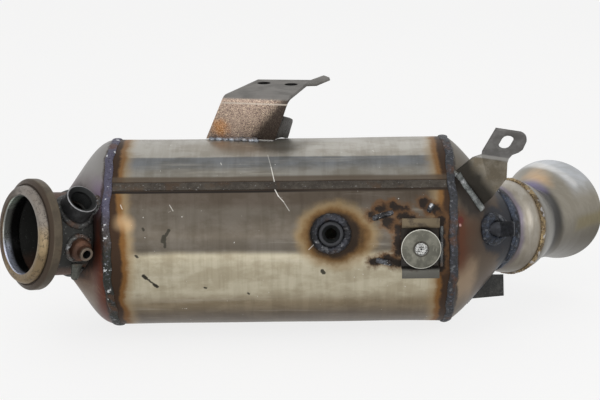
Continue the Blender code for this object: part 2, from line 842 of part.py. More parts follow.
turned(
    "spacer_sleeve",
    tube_profile(SLEEVE_DIAMETER / 2, RIVET_DIAMETER / 2 + SEAT_GAP, DISC_STANDOFF),
    channel_centre + sleeve_start * channel_out,
    channel_out,
    BRACKET_STEEL,
    SMALL_ROUND,
)
disc_start = sleeve_start + DISC_STANDOFF + SEAT_GAP
turned(
    "disc_washer",
    [
        (RIVET_DIAMETER / 2 + SEAT_GAP, DISC_THICKNESS),
        (DISC_DIAMETER / 2 - 0.5 * MILLIMETRE, DISC_THICKNESS),
        (DISC_DIAMETER / 2, DISC_THICKNESS - 0.5 * MILLIMETRE),
        (DISC_DIAMETER / 2, 0.0),
        (RIVET_DIAMETER / 2 + SEAT_GAP, 0.0),
    ],
    channel_centre + disc_start * channel_out,
    channel_out,
    BRIGHT_STEEL,
)
rivet_length = disc_start + DISC_THICKNESS - 0.4 * MILLIMETRE
rivet_head = rivet_length + SEAT_GAP
rivet = spin(
    add_part(
        "disc_rivet",
        profile_mesh(
            "disc_rivet",
            [
                (RIVET_DIAMETER / 12, rivet_head + RIVET_HEAD_HEIGHT),
                (RIVET_HEAD_DIAMETER * 0.36, rivet_head + RIVET_HEAD_HEIGHT),
                (RIVET_HEAD_DIAMETER / 2, rivet_head + RIVET_HEAD_HEIGHT * 0.45),
                (RIVET_HEAD_DIAMETER / 2, rivet_head),
                (RIVET_DIAMETER / 2, rivet_head),
                (RIVET_DIAMETER / 2, 0.0),
                (RIVET_DIAMETER / 12, 0.0),
            ],
        ),
        BRIGHT_STEEL,
        frame_on(channel_centre + 0.4 * MILLIMETRE * channel_out, channel_out),
    ),
    SMALL_ROUND,
)
channel_bead_x = CHANNEL_WIDTH / 2 + SEAT_GAP + 2.0 * MILLIMETRE
channel_bead = bead_mesh(
    "channel_bracket_weld",
    [channel_point(channel_bead_x, 1.2 * MILLIMETRE, 0.0165 - 0.0055 * i) for i in range(7)],
    2.0 * MILLIMETRE,
)
combine(add_part("channel_bracket_weld", channel_bead, WELD_STEEL), barrel_envelope)


def weld_stub(name, place):
    """A burnt stub of weld on the barrel, left where a bracket was cut away."""
    from_channel, degrees, length, turn = place
    out = barrel_direction(degrees)
    run = Matrix.Rotation(math.radians(turn), 3, out) @ ALONG
    centre = Vector((CHANNEL_X + from_channel, 0.0, 0.0)) + (BARREL_RADIUS + 0.6 * MILLIMETRE) * out
    points = [centre + run * length * (i / 4 - 0.5) for i in range(5)]
    combine(add_part(name, bead_mesh(name, points, 2.4 * MILLIMETRE), DARK_STEEL), barrel_envelope)


weld_stub("weld_stub_upper", STUB_UPPER)
weld_stub("weld_stub_lower", STUB_LOWER)
weld_stub("weld_stub_right", STUB_RIGHT)

# Support bracket: a leaning leg on the barrel and a level plate with two bolt holes.
sheet_middle = BRACKET_HEIGHT - BRACKET_SHEET / 2


def at_height(plan, height):
    return Vector((plan[0], plan[1], height))


foot_height = BARREL_RADIUS - 0.012
bracket_left = [
    at_height(FOOT_LEFT, foot_height),
    at_height(FOLD_LEFT, sheet_middle),
    at_height(PLATE_BACK_LEFT, sheet_middle),
]
bracket_right = [
    at_height(FOOT_RIGHT, foot_height),
    at_height(FOLD_RIGHT, sheet_middle),
    at_height(PLATE_BACK_RIGHT, sheet_middle),
]
support = thicken(
    add_part(
        "support_bracket",
        sheet_mesh("support_bracket", folded_rows(bracket_left, bracket_right, BRACKET_BEND, 5)),
        BRACKET_STEEL,
    ),
    BRACKET_SHEET,
    0.0,
)
tongue_root_back = Vector((*PLATE_BACK_RIGHT, sheet_middle))
tongue_root_front = tongue_root_back + Vector((0.0050, -0.0150, 0.0))
tongue_inset = Vector((-0.0110, -0.0010, 0.0))
tongue_reach = Vector((0.0125, 0.0050, TONGUE_RISE))
tongue = thicken(
    add_cutter(
        "bracket_tongue",
        sheet_mesh(
            "bracket_tongue",
            [
                (tongue_root_front + tongue_inset, tongue_root_back + tongue_inset + Vector((0, -0.002, 0))),
                (tongue_root_front, tongue_root_back),
                (tongue_root_front + tongue_reach + Vector((0, 0.0010, 0)),
                 tongue_root_back + tongue_reach + Vector((0, -0.0030, 0))),
            ],
        ),
    ),
    BRACKET_SHEET * 0.96,
    0.0,
)
combine(support, tongue, "UNION")
combine(support, barrel_envelope)
for hole_name, hole in (("bolt_hole_left", BOLT_HOLE_LEFT), ("bolt_hole_right", BOLT_HOLE_RIGHT)):
    combine(
        support,
        rod_cutter(hole_name, BOLT_HOLE_DIAMETER / 2, at_height(hole, BRACKET_HEIGHT - 0.01), UP, 0.02),
    )

# Gusset behind the leg's right edge, standing on the barrel.
leg_edge = (bracket_right[1] - bracket_right[0]).normalized()
leg_run = (bracket_right[1] - bracket_left[1]).normalized()
leg_normal = leg_run.cross(leg_edge).normalized()
if leg_normal.y < 0:
    leg_normal.negate()
gusset_foot = bracket_right[0] + (BRACKET_SHEET + SEAT_GAP) * leg_normal
gusset_run = (leg_normal * 0.94 + leg_run * 0.30).normalized()
gusset_rise = 0.012 + GUSSET_HEIGHT
gusset_slant = gusset_rise * 0.14
gusset_outline = [(0.0, 0.0), (GUSSET_DEPTH, 0.0), (GUSSET_DEPTH, gusset_rise * 0.56)]
gusset_outline += arc_points((GUSSET_DEPTH - 0.006, gusset_rise * 0.60), 0.006, 10, 70, 4)
gusset_outline += [(gusset_slant, gusset_rise)]
gusset = add_part(
    "support_bracket_gusset",
    flat_mesh("support_bracket_gusset", gusset_outline, BRACKET_SHEET),
    BRACKET_STEEL,
    plane_frame(gusset_foot - 0.5 * BRACKET_SHEET * leg_run, gusset_run, leg_edge),
)
combine(gusset, barrel_envelope)

# Weld bead along the front of the leg's foot.
bead_out = BRACKET_SHEET / 2 + FOOT_BEAD + SEAT_GAP
foot_bead_points = []
for i in range(9):
    share = 0.06 + 0.72 * i / 8
    plan = bracket_left[0].lerp(bracket_right[0], share) - bead_out * leg_normal
    plan_lift = math.sqrt((BARREL_RADIUS + 0.5 * FOOT_BEAD) ** 2 - plan.y**2)
    rise = plan_lift - foot_height
    point = plan + leg_edge * (rise / leg_edge.z)
    foot_bead_points.append(Vector((point.x, point.y, plan_lift)))
foot_bead = add_part(
    "support_bracket_weld", bead_mesh("support_bracket_weld", foot_bead_points, FOOT_BEAD), WELD_STEEL
)
combine(foot_bead, barrel_envelope)

# Flare end: a pressing that runs to a tilted mouth, a bulged collar and the flared pipe.
pipe_axis = Vector(PIPE_DIRECTION).normalized()
pipe_origin = Vector((BARREL_END + PIPE_START, 0.0, 0.0))
collar_radius = COLLAR_DIAMETER / 2


def on_pipe(distance):
    return pipe_origin + distance * pipe_axis


def cone_rings(clearance):
    return end_rings(
        1, clearance, pipe_axis, on_pipe(-CONE_SHORTFALL), collar_radius, CONE_FULLNESS, CONE_DROP
    )


flare_cone = thicken(
    add_part("flare_end_cone", skin_mesh("flare_end_cone", cone_rings(0.0)), TAN_STEEL), CONE_WALL
)
cone_envelope = add_cutter(
    "cone_envelope", skin_mesh("cone_envelope", cone_rings(1.5 * SEAT_GAP), capped=True)
)
collar_start = SEAT_GAP - CONE_SHORTFALL
collar_span = COLLAR_LENGTH - collar_start
collar_end_radius = COLLAR_BULGE / 2


def collar_rings(clearance, stations=4):
    rings = []
    for i in range(stations + 1):
        share = i / stations
        swell = (COLLAR_BULGE - COLLAR_DIAMETER) / 2 * math.sin(math.pi / 2 * share)
        centre = on_pipe(collar_start - clearance + (collar_span + clearance) * share)
        rings.append(ring_points(centre, pipe_axis, collar_radius + swell + clearance))
    return rings


thicken(
    add_part("bulged_collar", skin_mesh("bulged_collar", collar_rings(0.0)), BRIGHT_STEEL),
    COLLAR_WALL,
)
turned(
    "flare_neck_weld",
    bead_profile(collar_radius + NECK_WELD_LIFT, NECK_WELD_WIDTH, NECK_WELD_HEIGHT),
    on_pipe(NECK_WELD_PLACE),
    pipe_axis,
    DARK_STEEL,
)
combine(parts.objects["flare_neck_weld"], cone_envelope)
collar_room = add_cutter(
    "collar_room",
    skin_mesh(
        "collar_room", collar_rings(NECK_WELD_LIFT + NECK_WELD_HEIGHT + 2 * SEAT_GAP), capped=True
    ),
)
turned(
    "pipe_joint_weld",
    bead_profile(collar_end_radius, 2.2 * JOINT_BEAD, 0.75 * JOINT_BEAD, SEAT_GAP),
    on_pipe(COLLAR_LENGTH),
    pipe_axis,
    WELD_STEEL,
)

# Flared pipe: it tapers to a throat, turns a little and opens into a wide bell.
flare_axis = Vector(FLARE_DIRECTION).normalized()
throat_radius = FLARE_THROAT_DIAMETER / 2
throat_centre = on_pipe(COLLAR_LENGTH + FLARE_STRAIGHT)
flare_rings = [ring_points(on_pipe(COLLAR_LENGTH + SEAT_GAP), pipe_axis, collar_end_radius)]
for i in range(4):
    share = i / 4
    taper = 0.5 + 0.5 * math.cos(math.pi * share)
    radius = throat_radius + (collar_end_radius - throat_radius) * taper
    centre = on_pipe(COLLAR_LENGTH + PRESSED_EDGE + (FLARE_STRAIGHT - PRESSED_EDGE) * share)
    flare_rings.append(ring_points(centre, pipe_axis, radius))
for i in range(5):
    share = i / 4
    aim = pipe_axis.lerp(flare_axis, min(1.0, 0.5 + 1.5 * share)).normalized()
    radius = throat_radius + (FLARE_DIAMETER / 2 - throat_radius) * math.sin(math.pi / 2 * share) ** 1.3
    flare_rings.append(ring_points(throat_centre + FLARE_LENGTH * share * flare_axis, aim, radius))
thicken(add_part("flare_pipe", skin_mesh("flare_pipe", flare_rings), BRIGHT_STEEL), FLARE_PIPE_WALL)

# Threaded port beside the flare pipe, on an axis along the barrel. It stands where that axis leaves the cone.
cone_skin = flare_cone.data
cone_tree = BVHTree.FromPolygons(
    [corner.co for corner in cone_skin.vertices], [face.vertices for face in cone_skin.polygons]
)
port_start = Vector((BARREL_END + PIPE_START + COLLAR_LENGTH, PORT_INSET - BARREL_RADIUS, PORT_RISE))
port_place = cone_tree.ray_cast(port_start, -ALONG)[0] + PORT_STANDOFF * ALONG
port = turned(
    "cone_port",
    [
        (PORT_BORE / 2, PORT_LENGTH),
        (PORT_DIAMETER / 2 - 0.8 * MILLIMETRE, PORT_LENGTH),
        (PORT_DIAMETER / 2, PORT_LENGTH - 0.8 * MILLIMETRE),
        (PORT_DIAMETER / 2, -PORT_ROOT),
        (PORT_BORE / 2, -PORT_ROOT),
    ],
    port_place,
    ALONG,
    DARK_STEEL,
    SMALL_ROUND,
)
combine(port, cone_envelope)
port_weld = turned(
    "cone_port_weld",
    fillet_profile(
        PORT_DIAMETER / 2 + SEAT_GAP, PORT_DIAMETER / 2 + 4.5 * MILLIMETRE, 2.4 * MILLIMETRE, PORT_ROOT + 0.004
    ),
    port_place - 3.0 * MILLIMETRE * ALONG,
    ALONG,
    WELD_STEEL,
    SMALL_ROUND,
)
combine(port_weld, cone_envelope)
combine(
    flare_cone,
    rod_cutter("port_hole", PORT_BORE / 2, port_place - 0.012 * ALONG, ALONG, 0.024),
)

# Slotted bracket: an upright leg welded to the cone, and a slotted tab that leans back.
# Its corners are measured from the barrel's end and from the barrel's top.
FOLD_LEFT_CORNER = (0.0252, 0.0023)
FOLD_RIGHT_CORNER = (0.0486, 0.0062)
LEG_CORNERS = (
    (0.0183, 0.0047),
    (0.0036, 0.0173),
    (0.0078, 0.0408),
    (0.0238, 0.0508),
    (0.0358, 0.0394),
    (0.0388, 0.0350),
    (0.0474, 0.0233),
    (0.0476, 0.0096),
)


def leg_point(corner):
    beyond, down = corner
    return Vector((BARREL_END + beyond, SLOTTED_PLANE_Y, BARREL_RADIUS - down))


slotted_fold_left = leg_point(FOLD_LEFT_CORNER)
slotted_fold_right = leg_point(FOLD_RIGHT_CORNER)
leg_points = [leg_point(corner) for corner in (*LEG_CORNERS, FOLD_RIGHT_CORNER, FOLD_LEFT_CORNER)]
leg_outline = [(point.x, point.z) for point in leg_points]
slotted = add_part(
    "slotted_bracket",
    flat_mesh("slotted_bracket", list(reversed(leg_outline)), SLOTTED_SHEET),
    BRACKET_STEEL,
    plane_frame((0, SLOTTED_PLANE_Y, 0), ALONG, UP),
)
tab_across = (slotted_fold_right - slotted_fold_left).normalized()
tab_rise_flat = tab_across.cross(Vector((0, -1, 0))).normalized()
if tab_rise_flat.z < 0:
    tab_rise_flat.negate()
lean = math.radians(SLOTTED_LEAN)
tab_rise = math.cos(lean) * tab_rise_flat + math.sin(lean) * Vector((0, 1, 0))
tab_width = (slotted_fold_right - slotted_fold_left).length
tab_outline = [(0.0006, -0.0008), (tab_width - 0.0006, -0.0008), (tab_width + 0.0016, 0.0057)]
tab_outline += [(tab_width + 0.0062, 0.0096), (tab_width + 0.0086, 0.0135)]
tab_outline += arc_points((tab_width + 0.0003, 0.0225), 0.0090, 0, 75, 5)
tab_outline += [(0.0050, 0.0312), (0.0002, 0.0035)]
tab = add_cutter(
    "slotted_tab",
    flat_mesh(
        "slotted_tab",
        tab_outline,
        SLOTTED_SHEET * 0.98,
        holes=[slot_outline((0.0170, 0.0182), SLOT_WIDTH, SLOT_LENGTH, SLOT_LEAN)],
    ),
    plane_frame(slotted_fold_left, tab_across, tab_rise),
)
girth_room = rod_cutter(
    "girth_room",
    BARREL_RADIUS + GIRTH_WELD_HEIGHT + 3 * SEAT_GAP,
    (BARREL_END - GIRTH_WELD_WIDTH, 0, 0),
    ALONG,
    1.5 * GIRTH_WELD_WIDTH + 2 * SEAT_GAP,
    96,
)
combine(slotted, tab, "UNION")
combine(slotted, cone_envelope)
combine(slotted, girth_room)

# Lower bracket: a flat black gusset under the flare end.
# Its corners are measured from the barrel's end and from the barrel's bottom.
LOWER_CORNERS = (
    (0.0402, 0.0550),
    (0.0433, 0.0568),
    (0.0481, 0.0524),
    (0.0529, 0.0473),
    (0.0541, 0.0242),
    (0.0229, 0.0215),
    (0.0153, 0.0325),
    (0.0253, 0.0525),
)
lower_outline = [(BARREL_END + beyond, up - BARREL_RADIUS) for beyond, up in LOWER_CORNERS]
lower = add_part(
    "lower_bracket",
    flat_mesh("lower_bracket", list(reversed(lower_outline)), LOWER_SHEET),
    DARK_STEEL,
    plane_frame((0, LOWER_PLANE_Y, 0), ALONG, UP),
)
combine(lower, cone_envelope)
combine(lower, collar_room)


def cone_surface(plane_y, share, lower_side):
    """The point where the cone's outer skin crosses a plane of constant Y, at one station."""
    ring = cone_rings(0.0)[share]
    best = None
    for first, second in zip(ring, ring[1:] + ring[:1]):
        if (first.z < 0) != lower_side:
            continue
        if (first.y - plane_y) * (second.y - plane_y) <= 0 and first.y != second.y:
            best = first.lerp(second, (plane_y - first.y) / (second.y - first.y))
    return best


def cone_bead(name, plane_y, lower_side, stations, sheet, radius):
    """A bead along the joint between an upright sheet and the cone, on the near side."""
    points = []
    for station in stations:
        near = cone_surface(plane_y - sheet / 2 - radius, station, lower_side)
        if near is not None:
            outward = Vector((0.55, near.y / BARREL_RADIUS, near.z / BARREL_RADIUS)).normalized()
            points.append(near + 0.5 * radius * outward)
    bead = add_part(name, bead_mesh(name, points, radius - SEAT_GAP), WELD_STEEL)
    combine(bead, cone_envelope)
    combine(bead, girth_room)


cone_bead("slotted_bracket_weld", SLOTTED_PLANE_Y, False, range(1, 4), SLOTTED_SHEET, SLOTTED_BEAD)
cone_bead("lower_bracket_weld", LOWER_PLANE_Y, True, range(2, 6), LOWER_SHEET, LOWER_BEAD)

# Bricks in their fibre mats.
mat_outer = BARREL_RADIUS - SHELL_WALL - SEAT_GAP
mat_inner = mat_outer - MAT_THICKNESS
brick_radius = mat_inner - SEAT_GAP
BRICKS = (
    ("filter", FILTER_END - FILTER_LENGTH, FILTER_LENGTH, BRICK_CERAMIC),
    ("catalyst", FILTER_END + BRICK_SPACING, CATALYST_LENGTH, CATALYST_CERAMIC),
)
for brick_name, start, length, ceramic in BRICKS:
    brick_mesh = rod_mesh(f"{brick_name}_brick", brick_radius, length, ROUND)
    add_part(f"{brick_name}_brick", brick_mesh, ceramic, frame_on((start, 0, 0), ALONG))
    shade(brick_mesh)
    mat_start = start + MAT_SETBACK
    mat_length = length - 2 * MAT_SETBACK
    turned(
        f"{brick_name}_mat",
        tube_profile(mat_outer, mat_inner, mat_length),
        (mat_start, 0, 0),
        ALONG,
        MAT_FIBRE,
    )
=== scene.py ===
"""The looks of a used diesel particulate filter: a welded steel canister, tinted and burnt by its heat."""

import math

import bmesh
import bpy
import numpy as np
from mathutils import Matrix, Vector
from mathutils.bvhtree import BVHTree


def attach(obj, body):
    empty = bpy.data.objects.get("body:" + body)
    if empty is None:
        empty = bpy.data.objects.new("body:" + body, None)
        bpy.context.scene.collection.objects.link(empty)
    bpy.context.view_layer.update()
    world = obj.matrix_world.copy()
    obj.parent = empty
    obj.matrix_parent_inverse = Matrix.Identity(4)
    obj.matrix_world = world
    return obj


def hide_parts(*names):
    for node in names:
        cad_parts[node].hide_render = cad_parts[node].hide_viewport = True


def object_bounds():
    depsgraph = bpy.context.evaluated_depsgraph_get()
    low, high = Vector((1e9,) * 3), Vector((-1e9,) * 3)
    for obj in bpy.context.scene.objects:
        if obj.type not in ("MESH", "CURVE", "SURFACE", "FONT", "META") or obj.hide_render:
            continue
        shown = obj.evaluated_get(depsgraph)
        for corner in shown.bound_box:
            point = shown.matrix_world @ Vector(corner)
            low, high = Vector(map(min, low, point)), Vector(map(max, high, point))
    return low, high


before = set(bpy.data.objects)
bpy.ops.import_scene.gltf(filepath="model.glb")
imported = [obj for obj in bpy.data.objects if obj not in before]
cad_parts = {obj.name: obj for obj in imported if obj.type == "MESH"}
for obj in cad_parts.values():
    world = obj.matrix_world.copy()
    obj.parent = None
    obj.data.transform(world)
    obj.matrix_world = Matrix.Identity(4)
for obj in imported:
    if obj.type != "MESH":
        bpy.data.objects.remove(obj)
cad_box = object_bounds()

# Camera. The photograph looks a little down on the near side of the canister, which hangs from its
# support bracket. The barrel's middle lies below the bracket's face, where the frame has its origin.
MIDDLE = Vector((0.0024, -0.05755, -0.122))
UP = Vector((0.0, 0.0, 1.0))
ALONG = Vector((1.0, 0.0, 0.0))
MM = 0.001


def placed(name, data):
    """A new object in the scene."""
    made = bpy.data.objects.new(name, data)
    bpy.context.scene.collection.objects.link(made)
    return made


camera_data = bpy.data.cameras.new("camera")
camera_data.lens = 76.9
camera_data.sensor_width = 36.0
camera_data.clip_start = 0.01
camera = placed("camera", camera_data)
look = Vector((0.0, 0.9613, -0.2756))
level_up = Vector((0.0, 0.2756, 0.9613))
roll = math.atan(0.0107)
right = ALONG * math.cos(roll) - level_up * math.sin(roll)
above = level_up * math.cos(roll) + ALONG * math.sin(roll)
camera.matrix_world = Matrix.Translation(MIDDLE + Vector((0.0171, -1.0981, 0.3425))) @ Matrix(
    (right, above, -look)
).transposed().to_4x4()
bpy.context.scene.camera = camera


# Barrel: rolled stainless sheet with a hole under the temperature boss. It is drawn as rings that run
# along it, with the faint flats and waves of thin rolled sheet, and has its real wall.
BARREL_RADIUS = 0.0825
BARREL_END = 0.14475
SHELL_WALL = 0.0015
PRESSED_WALL = 0.0018


def ring(centre, axis, radius, count=192):
    """Points round a circle, starting at its highest one."""
    axis = Vector(axis).normalized()
    top = (UP - UP.dot(axis) * axis).normalized()
    side = axis.cross(top)
    turn = np.linspace(0.0, 2 * math.pi, count, endpoint=False)[:, None]
    return np.array(centre) + radius * (np.cos(turn) * np.array(top) + np.sin(turn) * np.array(side))


def outwards(degrees):
    """The way out of the barrel, at this angle above its near side."""
    return Vector((0.0, -math.cos(math.radians(degrees)), math.sin(math.radians(degrees))))


def keep(name, mesh, material, slot, *nodes):
    """One finished piece: it rides on the canister and stands for its CAD nodes."""
    piece = placed(name, mesh)
    mesh.materials.clear()
    mesh.materials.append(material)
    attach(piece, "root")
    if nodes:
        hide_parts(*nodes)
    return piece


def smooth(mesh, degrees=32.0):
    mesh.shade_smooth()
    mesh.set_sharp_from_angle(angle=math.radians(degrees))
    return mesh


def mended(mesh):
    """The mesh with its doubles merged and its faces turned outwards."""
    shape = bmesh.new()
    shape.from_mesh(mesh)
    bmesh.ops.remove_doubles(shape, verts=shape.verts, dist=1e-7)
    bmesh.ops.recalc_face_normals(shape, faces=shape.faces)
    shape.to_mesh(mesh)
    shape.free()
    return mesh


def skin(name, rings, closed=False):
    """A mesh through rings of equal count, each a row of points round the piece."""
    points = np.concatenate(rings)
    count, rows = len(rings[0]), len(rings)
    faces = []
    for row in range(rows if closed else rows - 1):
        low, high = row * count, (row + 1) % rows * count
        for i in range(count):
            j = (i + 1) % count
            faces.append((low + i, low + j, high + j, high + i))
    mesh = bpy.data.meshes.new(name)
    mesh.from_pydata([tuple(p) for p in points + np.array(MIDDLE)], [], faces)
    return mended(mesh) if closed else mesh


def tube(name, stations, wall, count=192):
    """A pipe through (centre, axis, radius) stations, with an inner skin of its own."""
    outer = [ring(centre, axis, radius, count) for centre, axis, radius in stations]
    inner = [ring(centre, axis, radius - wall, count) for centre, axis, radius in reversed(stations)]
    return skin(name, outer + inner, closed=True)


def finished(name, mesh, wall=0.0, cutters=(), bevel=0.0):
    """The mesh with its wall, its cuts and its rounded edges applied. Its cutters are used up."""
    work = placed(name, mesh)
    if wall:
        thickness = work.modifiers.new("wall", "SOLIDIFY")
        thickness.thickness = wall
        thickness.offset = -1.0
        thickness.use_even_offset = True
    for tool in cutters:
        cut = work.modifiers.new("cut", "BOOLEAN")
        cut.object = tool
        cut.solver = "EXACT"
    if bevel:
        edge = work.modifiers.new("edge", "BEVEL")
        edge.width = bevel
        edge.segments = 2
        edge.limit_method = "ANGLE"
        edge.angle_limit = math.radians(40)
    return applied(work, cutters)


def applied(work, cutters=()):
    """A plain mesh of the object with its modifiers applied. It and its cutters are used up."""
    bpy.context.view_layer.update()
    result = bpy.data.meshes.new_from_object(work.evaluated_get(bpy.context.evaluated_depsgraph_get()))
    result.name = work.name
    for used in (work, *cutters):
        bpy.data.objects.remove(used, do_unlink=True)
    return result


def rod(radius, start, axis, length, count=48):
    """A plain round cutter, in the canister's own coordinates."""
    mesh = bpy.data.meshes.new("cutter")
    shape = bmesh.new()
    turn = Vector(axis).normalized().to_track_quat("Z", "Y").to_matrix().to_4x4()
    place = Matrix.Translation(Vector(start) + MIDDLE) @ turn @ Matrix.Translation((0, 0, length / 2))
    bmesh.ops.create_cone(
        shape, cap_ends=True, segments=count, radius1=radius, radius2=radius, depth=length, matrix=place
    )
    shape.to_mesh(mesh)
    shape.free()
    return placed("cutter", mesh)


class Value:
    """A socket that takes part in ordinary sums."""

    def __init__(self, tree, socket):
        self.tree, self.socket = tree, socket

    def also(self, output):
        """Another output of the same node."""
        return Value(self.tree, self.socket.node.outputs[output])

    def sum(self, operation, *terms, clamp=False):
        settings = {"operation": operation, "use_clamp": clamp}
        return self.tree.node("ShaderNodeMath", settings, dict(enumerate(terms)))

    def __add__(self, other):
        return self.sum("ADD", self, other)

    def __radd__(self, other):
        return self.sum("ADD", other, self)

    def __sub__(self, other):
        return self.sum("SUBTRACT", self, other)

    def __rsub__(self, other):
        return self.sum("SUBTRACT", other, self)

    def __mul__(self, other):
        return self.sum("MULTIPLY", self, other)

    def __rmul__(self, other):
        return self.sum("MULTIPLY", other, self)

    def __truediv__(self, other):
        return self.sum("DIVIDE", self, other)

    def __pow__(self, other):
        return self.sum("POWER", self, other)

    def size(self):
        return self.sum("ABSOLUTE", self)

    def sine(self):
        return self.sum("SINE", self)

    def limited(self):
        return self.sum("ADD", self, 0.0, clamp=True)

    def least(self, other):
        return self.sum("MINIMUM", self, other)

    def most(self, other):
        return self.sum("MAXIMUM", self, other)

    def fade(self, low, high, start=1.0, stop=0.0):
        """From start below low to stop above high, smoothly."""
        sockets = {0: self, 1: low, 2: high, 3: start, 4: stop}
        return self.tree.node("ShaderNodeMapRange", {"interpolation_type": "SMOOTHSTEP"}, sockets)

    def rise(self, low, high, reach=1.0):
        """From nothing below low to reach above high, smoothly."""
        return self.fade(low, high, 0.0, reach)

    def near(self, centre, low, high, reach=1.0):
        """From reach within low of a centre to nothing beyond high, smoothly."""
        return (self - centre).size().fade(low, high, reach)

    def swing(self, amount):
        """A noise as a swing about nothing."""
        return (self - 0.5) * amount


class Tree:
    """A node tree that is filled through one method."""

    def __init__(self, tree):
        self.tree = tree

    def node(self, kind, settings=(), sockets=(), output=0):
        """Any node: its settings first, a ramp's stops too, then the values or links of its sockets."""
        made = self.tree.nodes.new(kind)
        for key, value in dict(settings).items():
            if key == "stops":
                elements = made.color_ramp.elements
                while len(elements) < len(value):
                    elements.new(0.5)
                for element, (at, colour) in zip(elements, value):
                    element.position = at
                    element.color = (*colour, 1.0)
            else:
                setattr(made, key, value)
        for key, value in dict(sockets).items():
            socket = made.inputs[key]
            if isinstance(value, Value):
                self.tree.links.new(value.socket, socket)
            elif socket.type == "RGBA":
                socket.default_value = (*value, 1.0)
            else:
                socket.default_value = value
        return Value(self, made.outputs[output] if made.outputs else None)


class Finish(Tree):
    """One material on a Principled shader, with the masks that its wear and tint, and its painted light and shade,
    are made of.
    """

    def __init__(self, name, metallic=0.85, roughness=0.45):
        self.material = bpy.data.materials.new(name)
        self.material.use_nodes = True
        super().__init__(self.material.node_tree)
        self.shader = self.tree.nodes["Principled BSDF"]
        self.shader.inputs["Metallic"].default_value = metallic
        self.shader.inputs["Roughness"].default_value = roughness
        self.place = self.node("ShaderNodeTexCoord", output="Object")

    def vector(self, operation, first, second=(0.0, 0.0, 0.0), output="Vector"):
        return self.node("ShaderNodeVectorMath", {"operation": operation}, {0: first, 1: second}, output)

    def give(self, name, value):
        self.tree.links.new(value.socket, self.shader.inputs[name])

    def axes(self):
        """Object coordinates measured from the barrel's middle, in millimetres."""
        moved = self.vector("SUBTRACT", self.place, tuple(MIDDLE))
        large = self.vector("MULTIPLY", moved, (1000.0, 1000.0, 1000.0))
        split = self.node("ShaderNodeSeparateXYZ", sockets={0: large})
        return split, split.also(1), split.also(2)

    def from_point(self, point):
        """Distance from a point on the canister, in millimetres."""
        return self.vector("DISTANCE", self.place, tuple(MIDDLE + Vector(point)), "Value") * 1000.0

    def on_axis(self, origin, axis):
        """Height along an axis and distance from it, in millimetres."""
        away = self.vector("SUBTRACT", self.place, tuple(MIDDLE + Vector(origin)))
        height = self.vector("DOT_PRODUCT", away, tuple(axis), "Value")
        span = self.vector("LENGTH", away, output="Value")
        return height * 1000.0, (span * span - height * height).most(0.0) ** 0.5 * 1000.0

    def noise(self, scale, detail=3.0, rough=0.55, stretch=(1.0, 1.0, 1.0), shift=0.0, bend=0.0):
        """Noise from 0 to 1, with its scale in features per metre."""
        placed = self.node(
            "ShaderNodeMapping",
            sockets={"Vector": self.place, "Scale": stretch, "Location": (shift, 2 * shift, 3 * shift)},
        )
        sockets = {"Vector": placed, "Scale": scale, "Detail": detail, "Roughness": rough, "Distortion": bend}
        return self.node("ShaderNodeTexNoise", sockets=sockets)

    def mix(self, first, second, share, blend="MIX"):
        settings = {"data_type": "RGBA", "blend_type": blend, "clamp_factor": True}
        return self.node("ShaderNodeMix", settings, {0: share, 6: first, 7: second}, 2)

    def coats(self, colour, *layers):
        """A colour with layers of (tone, share) over it, or of (tone, share, blend)."""
        for tone, *how in layers:
            colour = self.mix(colour, tone, *how)
        return colour

    def bump(self, height, strength, distance):
        sockets = {"Strength": strength, "Distance": distance, "Height": height}
        self.give("Normal", self.node("ShaderNodeBump", sockets=sockets))

    def done(self, colour, rough, height, strength, distance):
        """The finish gets its colour, its roughness if it varies, and its bumps."""
        self.give("Base Color", colour)
        if rough is not None:
            self.give("Roughness", rough)
        self.bump(height, strength, distance)

    def stroke(self, first, second, start, stop, width, soft, wander=0.0):
        """A mark drawn from start to stop on two flat measures of the surface."""
        run = (stop[0] - start[0], stop[1] - start[1])
        length = run[0] ** 2 + run[1] ** 2 or 1.0
        share = ((first - start[0]) * (run[0] / length) + (second - start[1]) * (run[1] / length)).limited()
        off_first = first - start[0] - share * run[0]
        off_second = second - start[1] - share * run[1]
        away = (off_first * off_first + off_second * off_second) ** 0.5 + wander
        return away.fade(width, width + soft)


barrel = Finish("heat_tint_and_reflection_barrel", metallic=0.85)
x, y, z = barrel.axes()
angle = barrel.node("ShaderNodeMath", {"operation": "ARCTAN2"}, {0: z, 1: 0.0 - y})
arc = angle * (BARREL_RADIUS * 1000)
patches = barrel.noise(14, 5, 0.62, stretch=(0.6, 1, 1))
clouds = barrel.noise(52, 5, 0.65, stretch=(0.5, 1, 1), shift=1.3)
streaks = barrel.noise(110, 4, 0.65, stretch=(0.07, 1, 1))
hoops = barrel.noise(140, 3, 0.6, stretch=(1, 0.10, 0.10))
fine = barrel.noise(900, 3, 0.7)
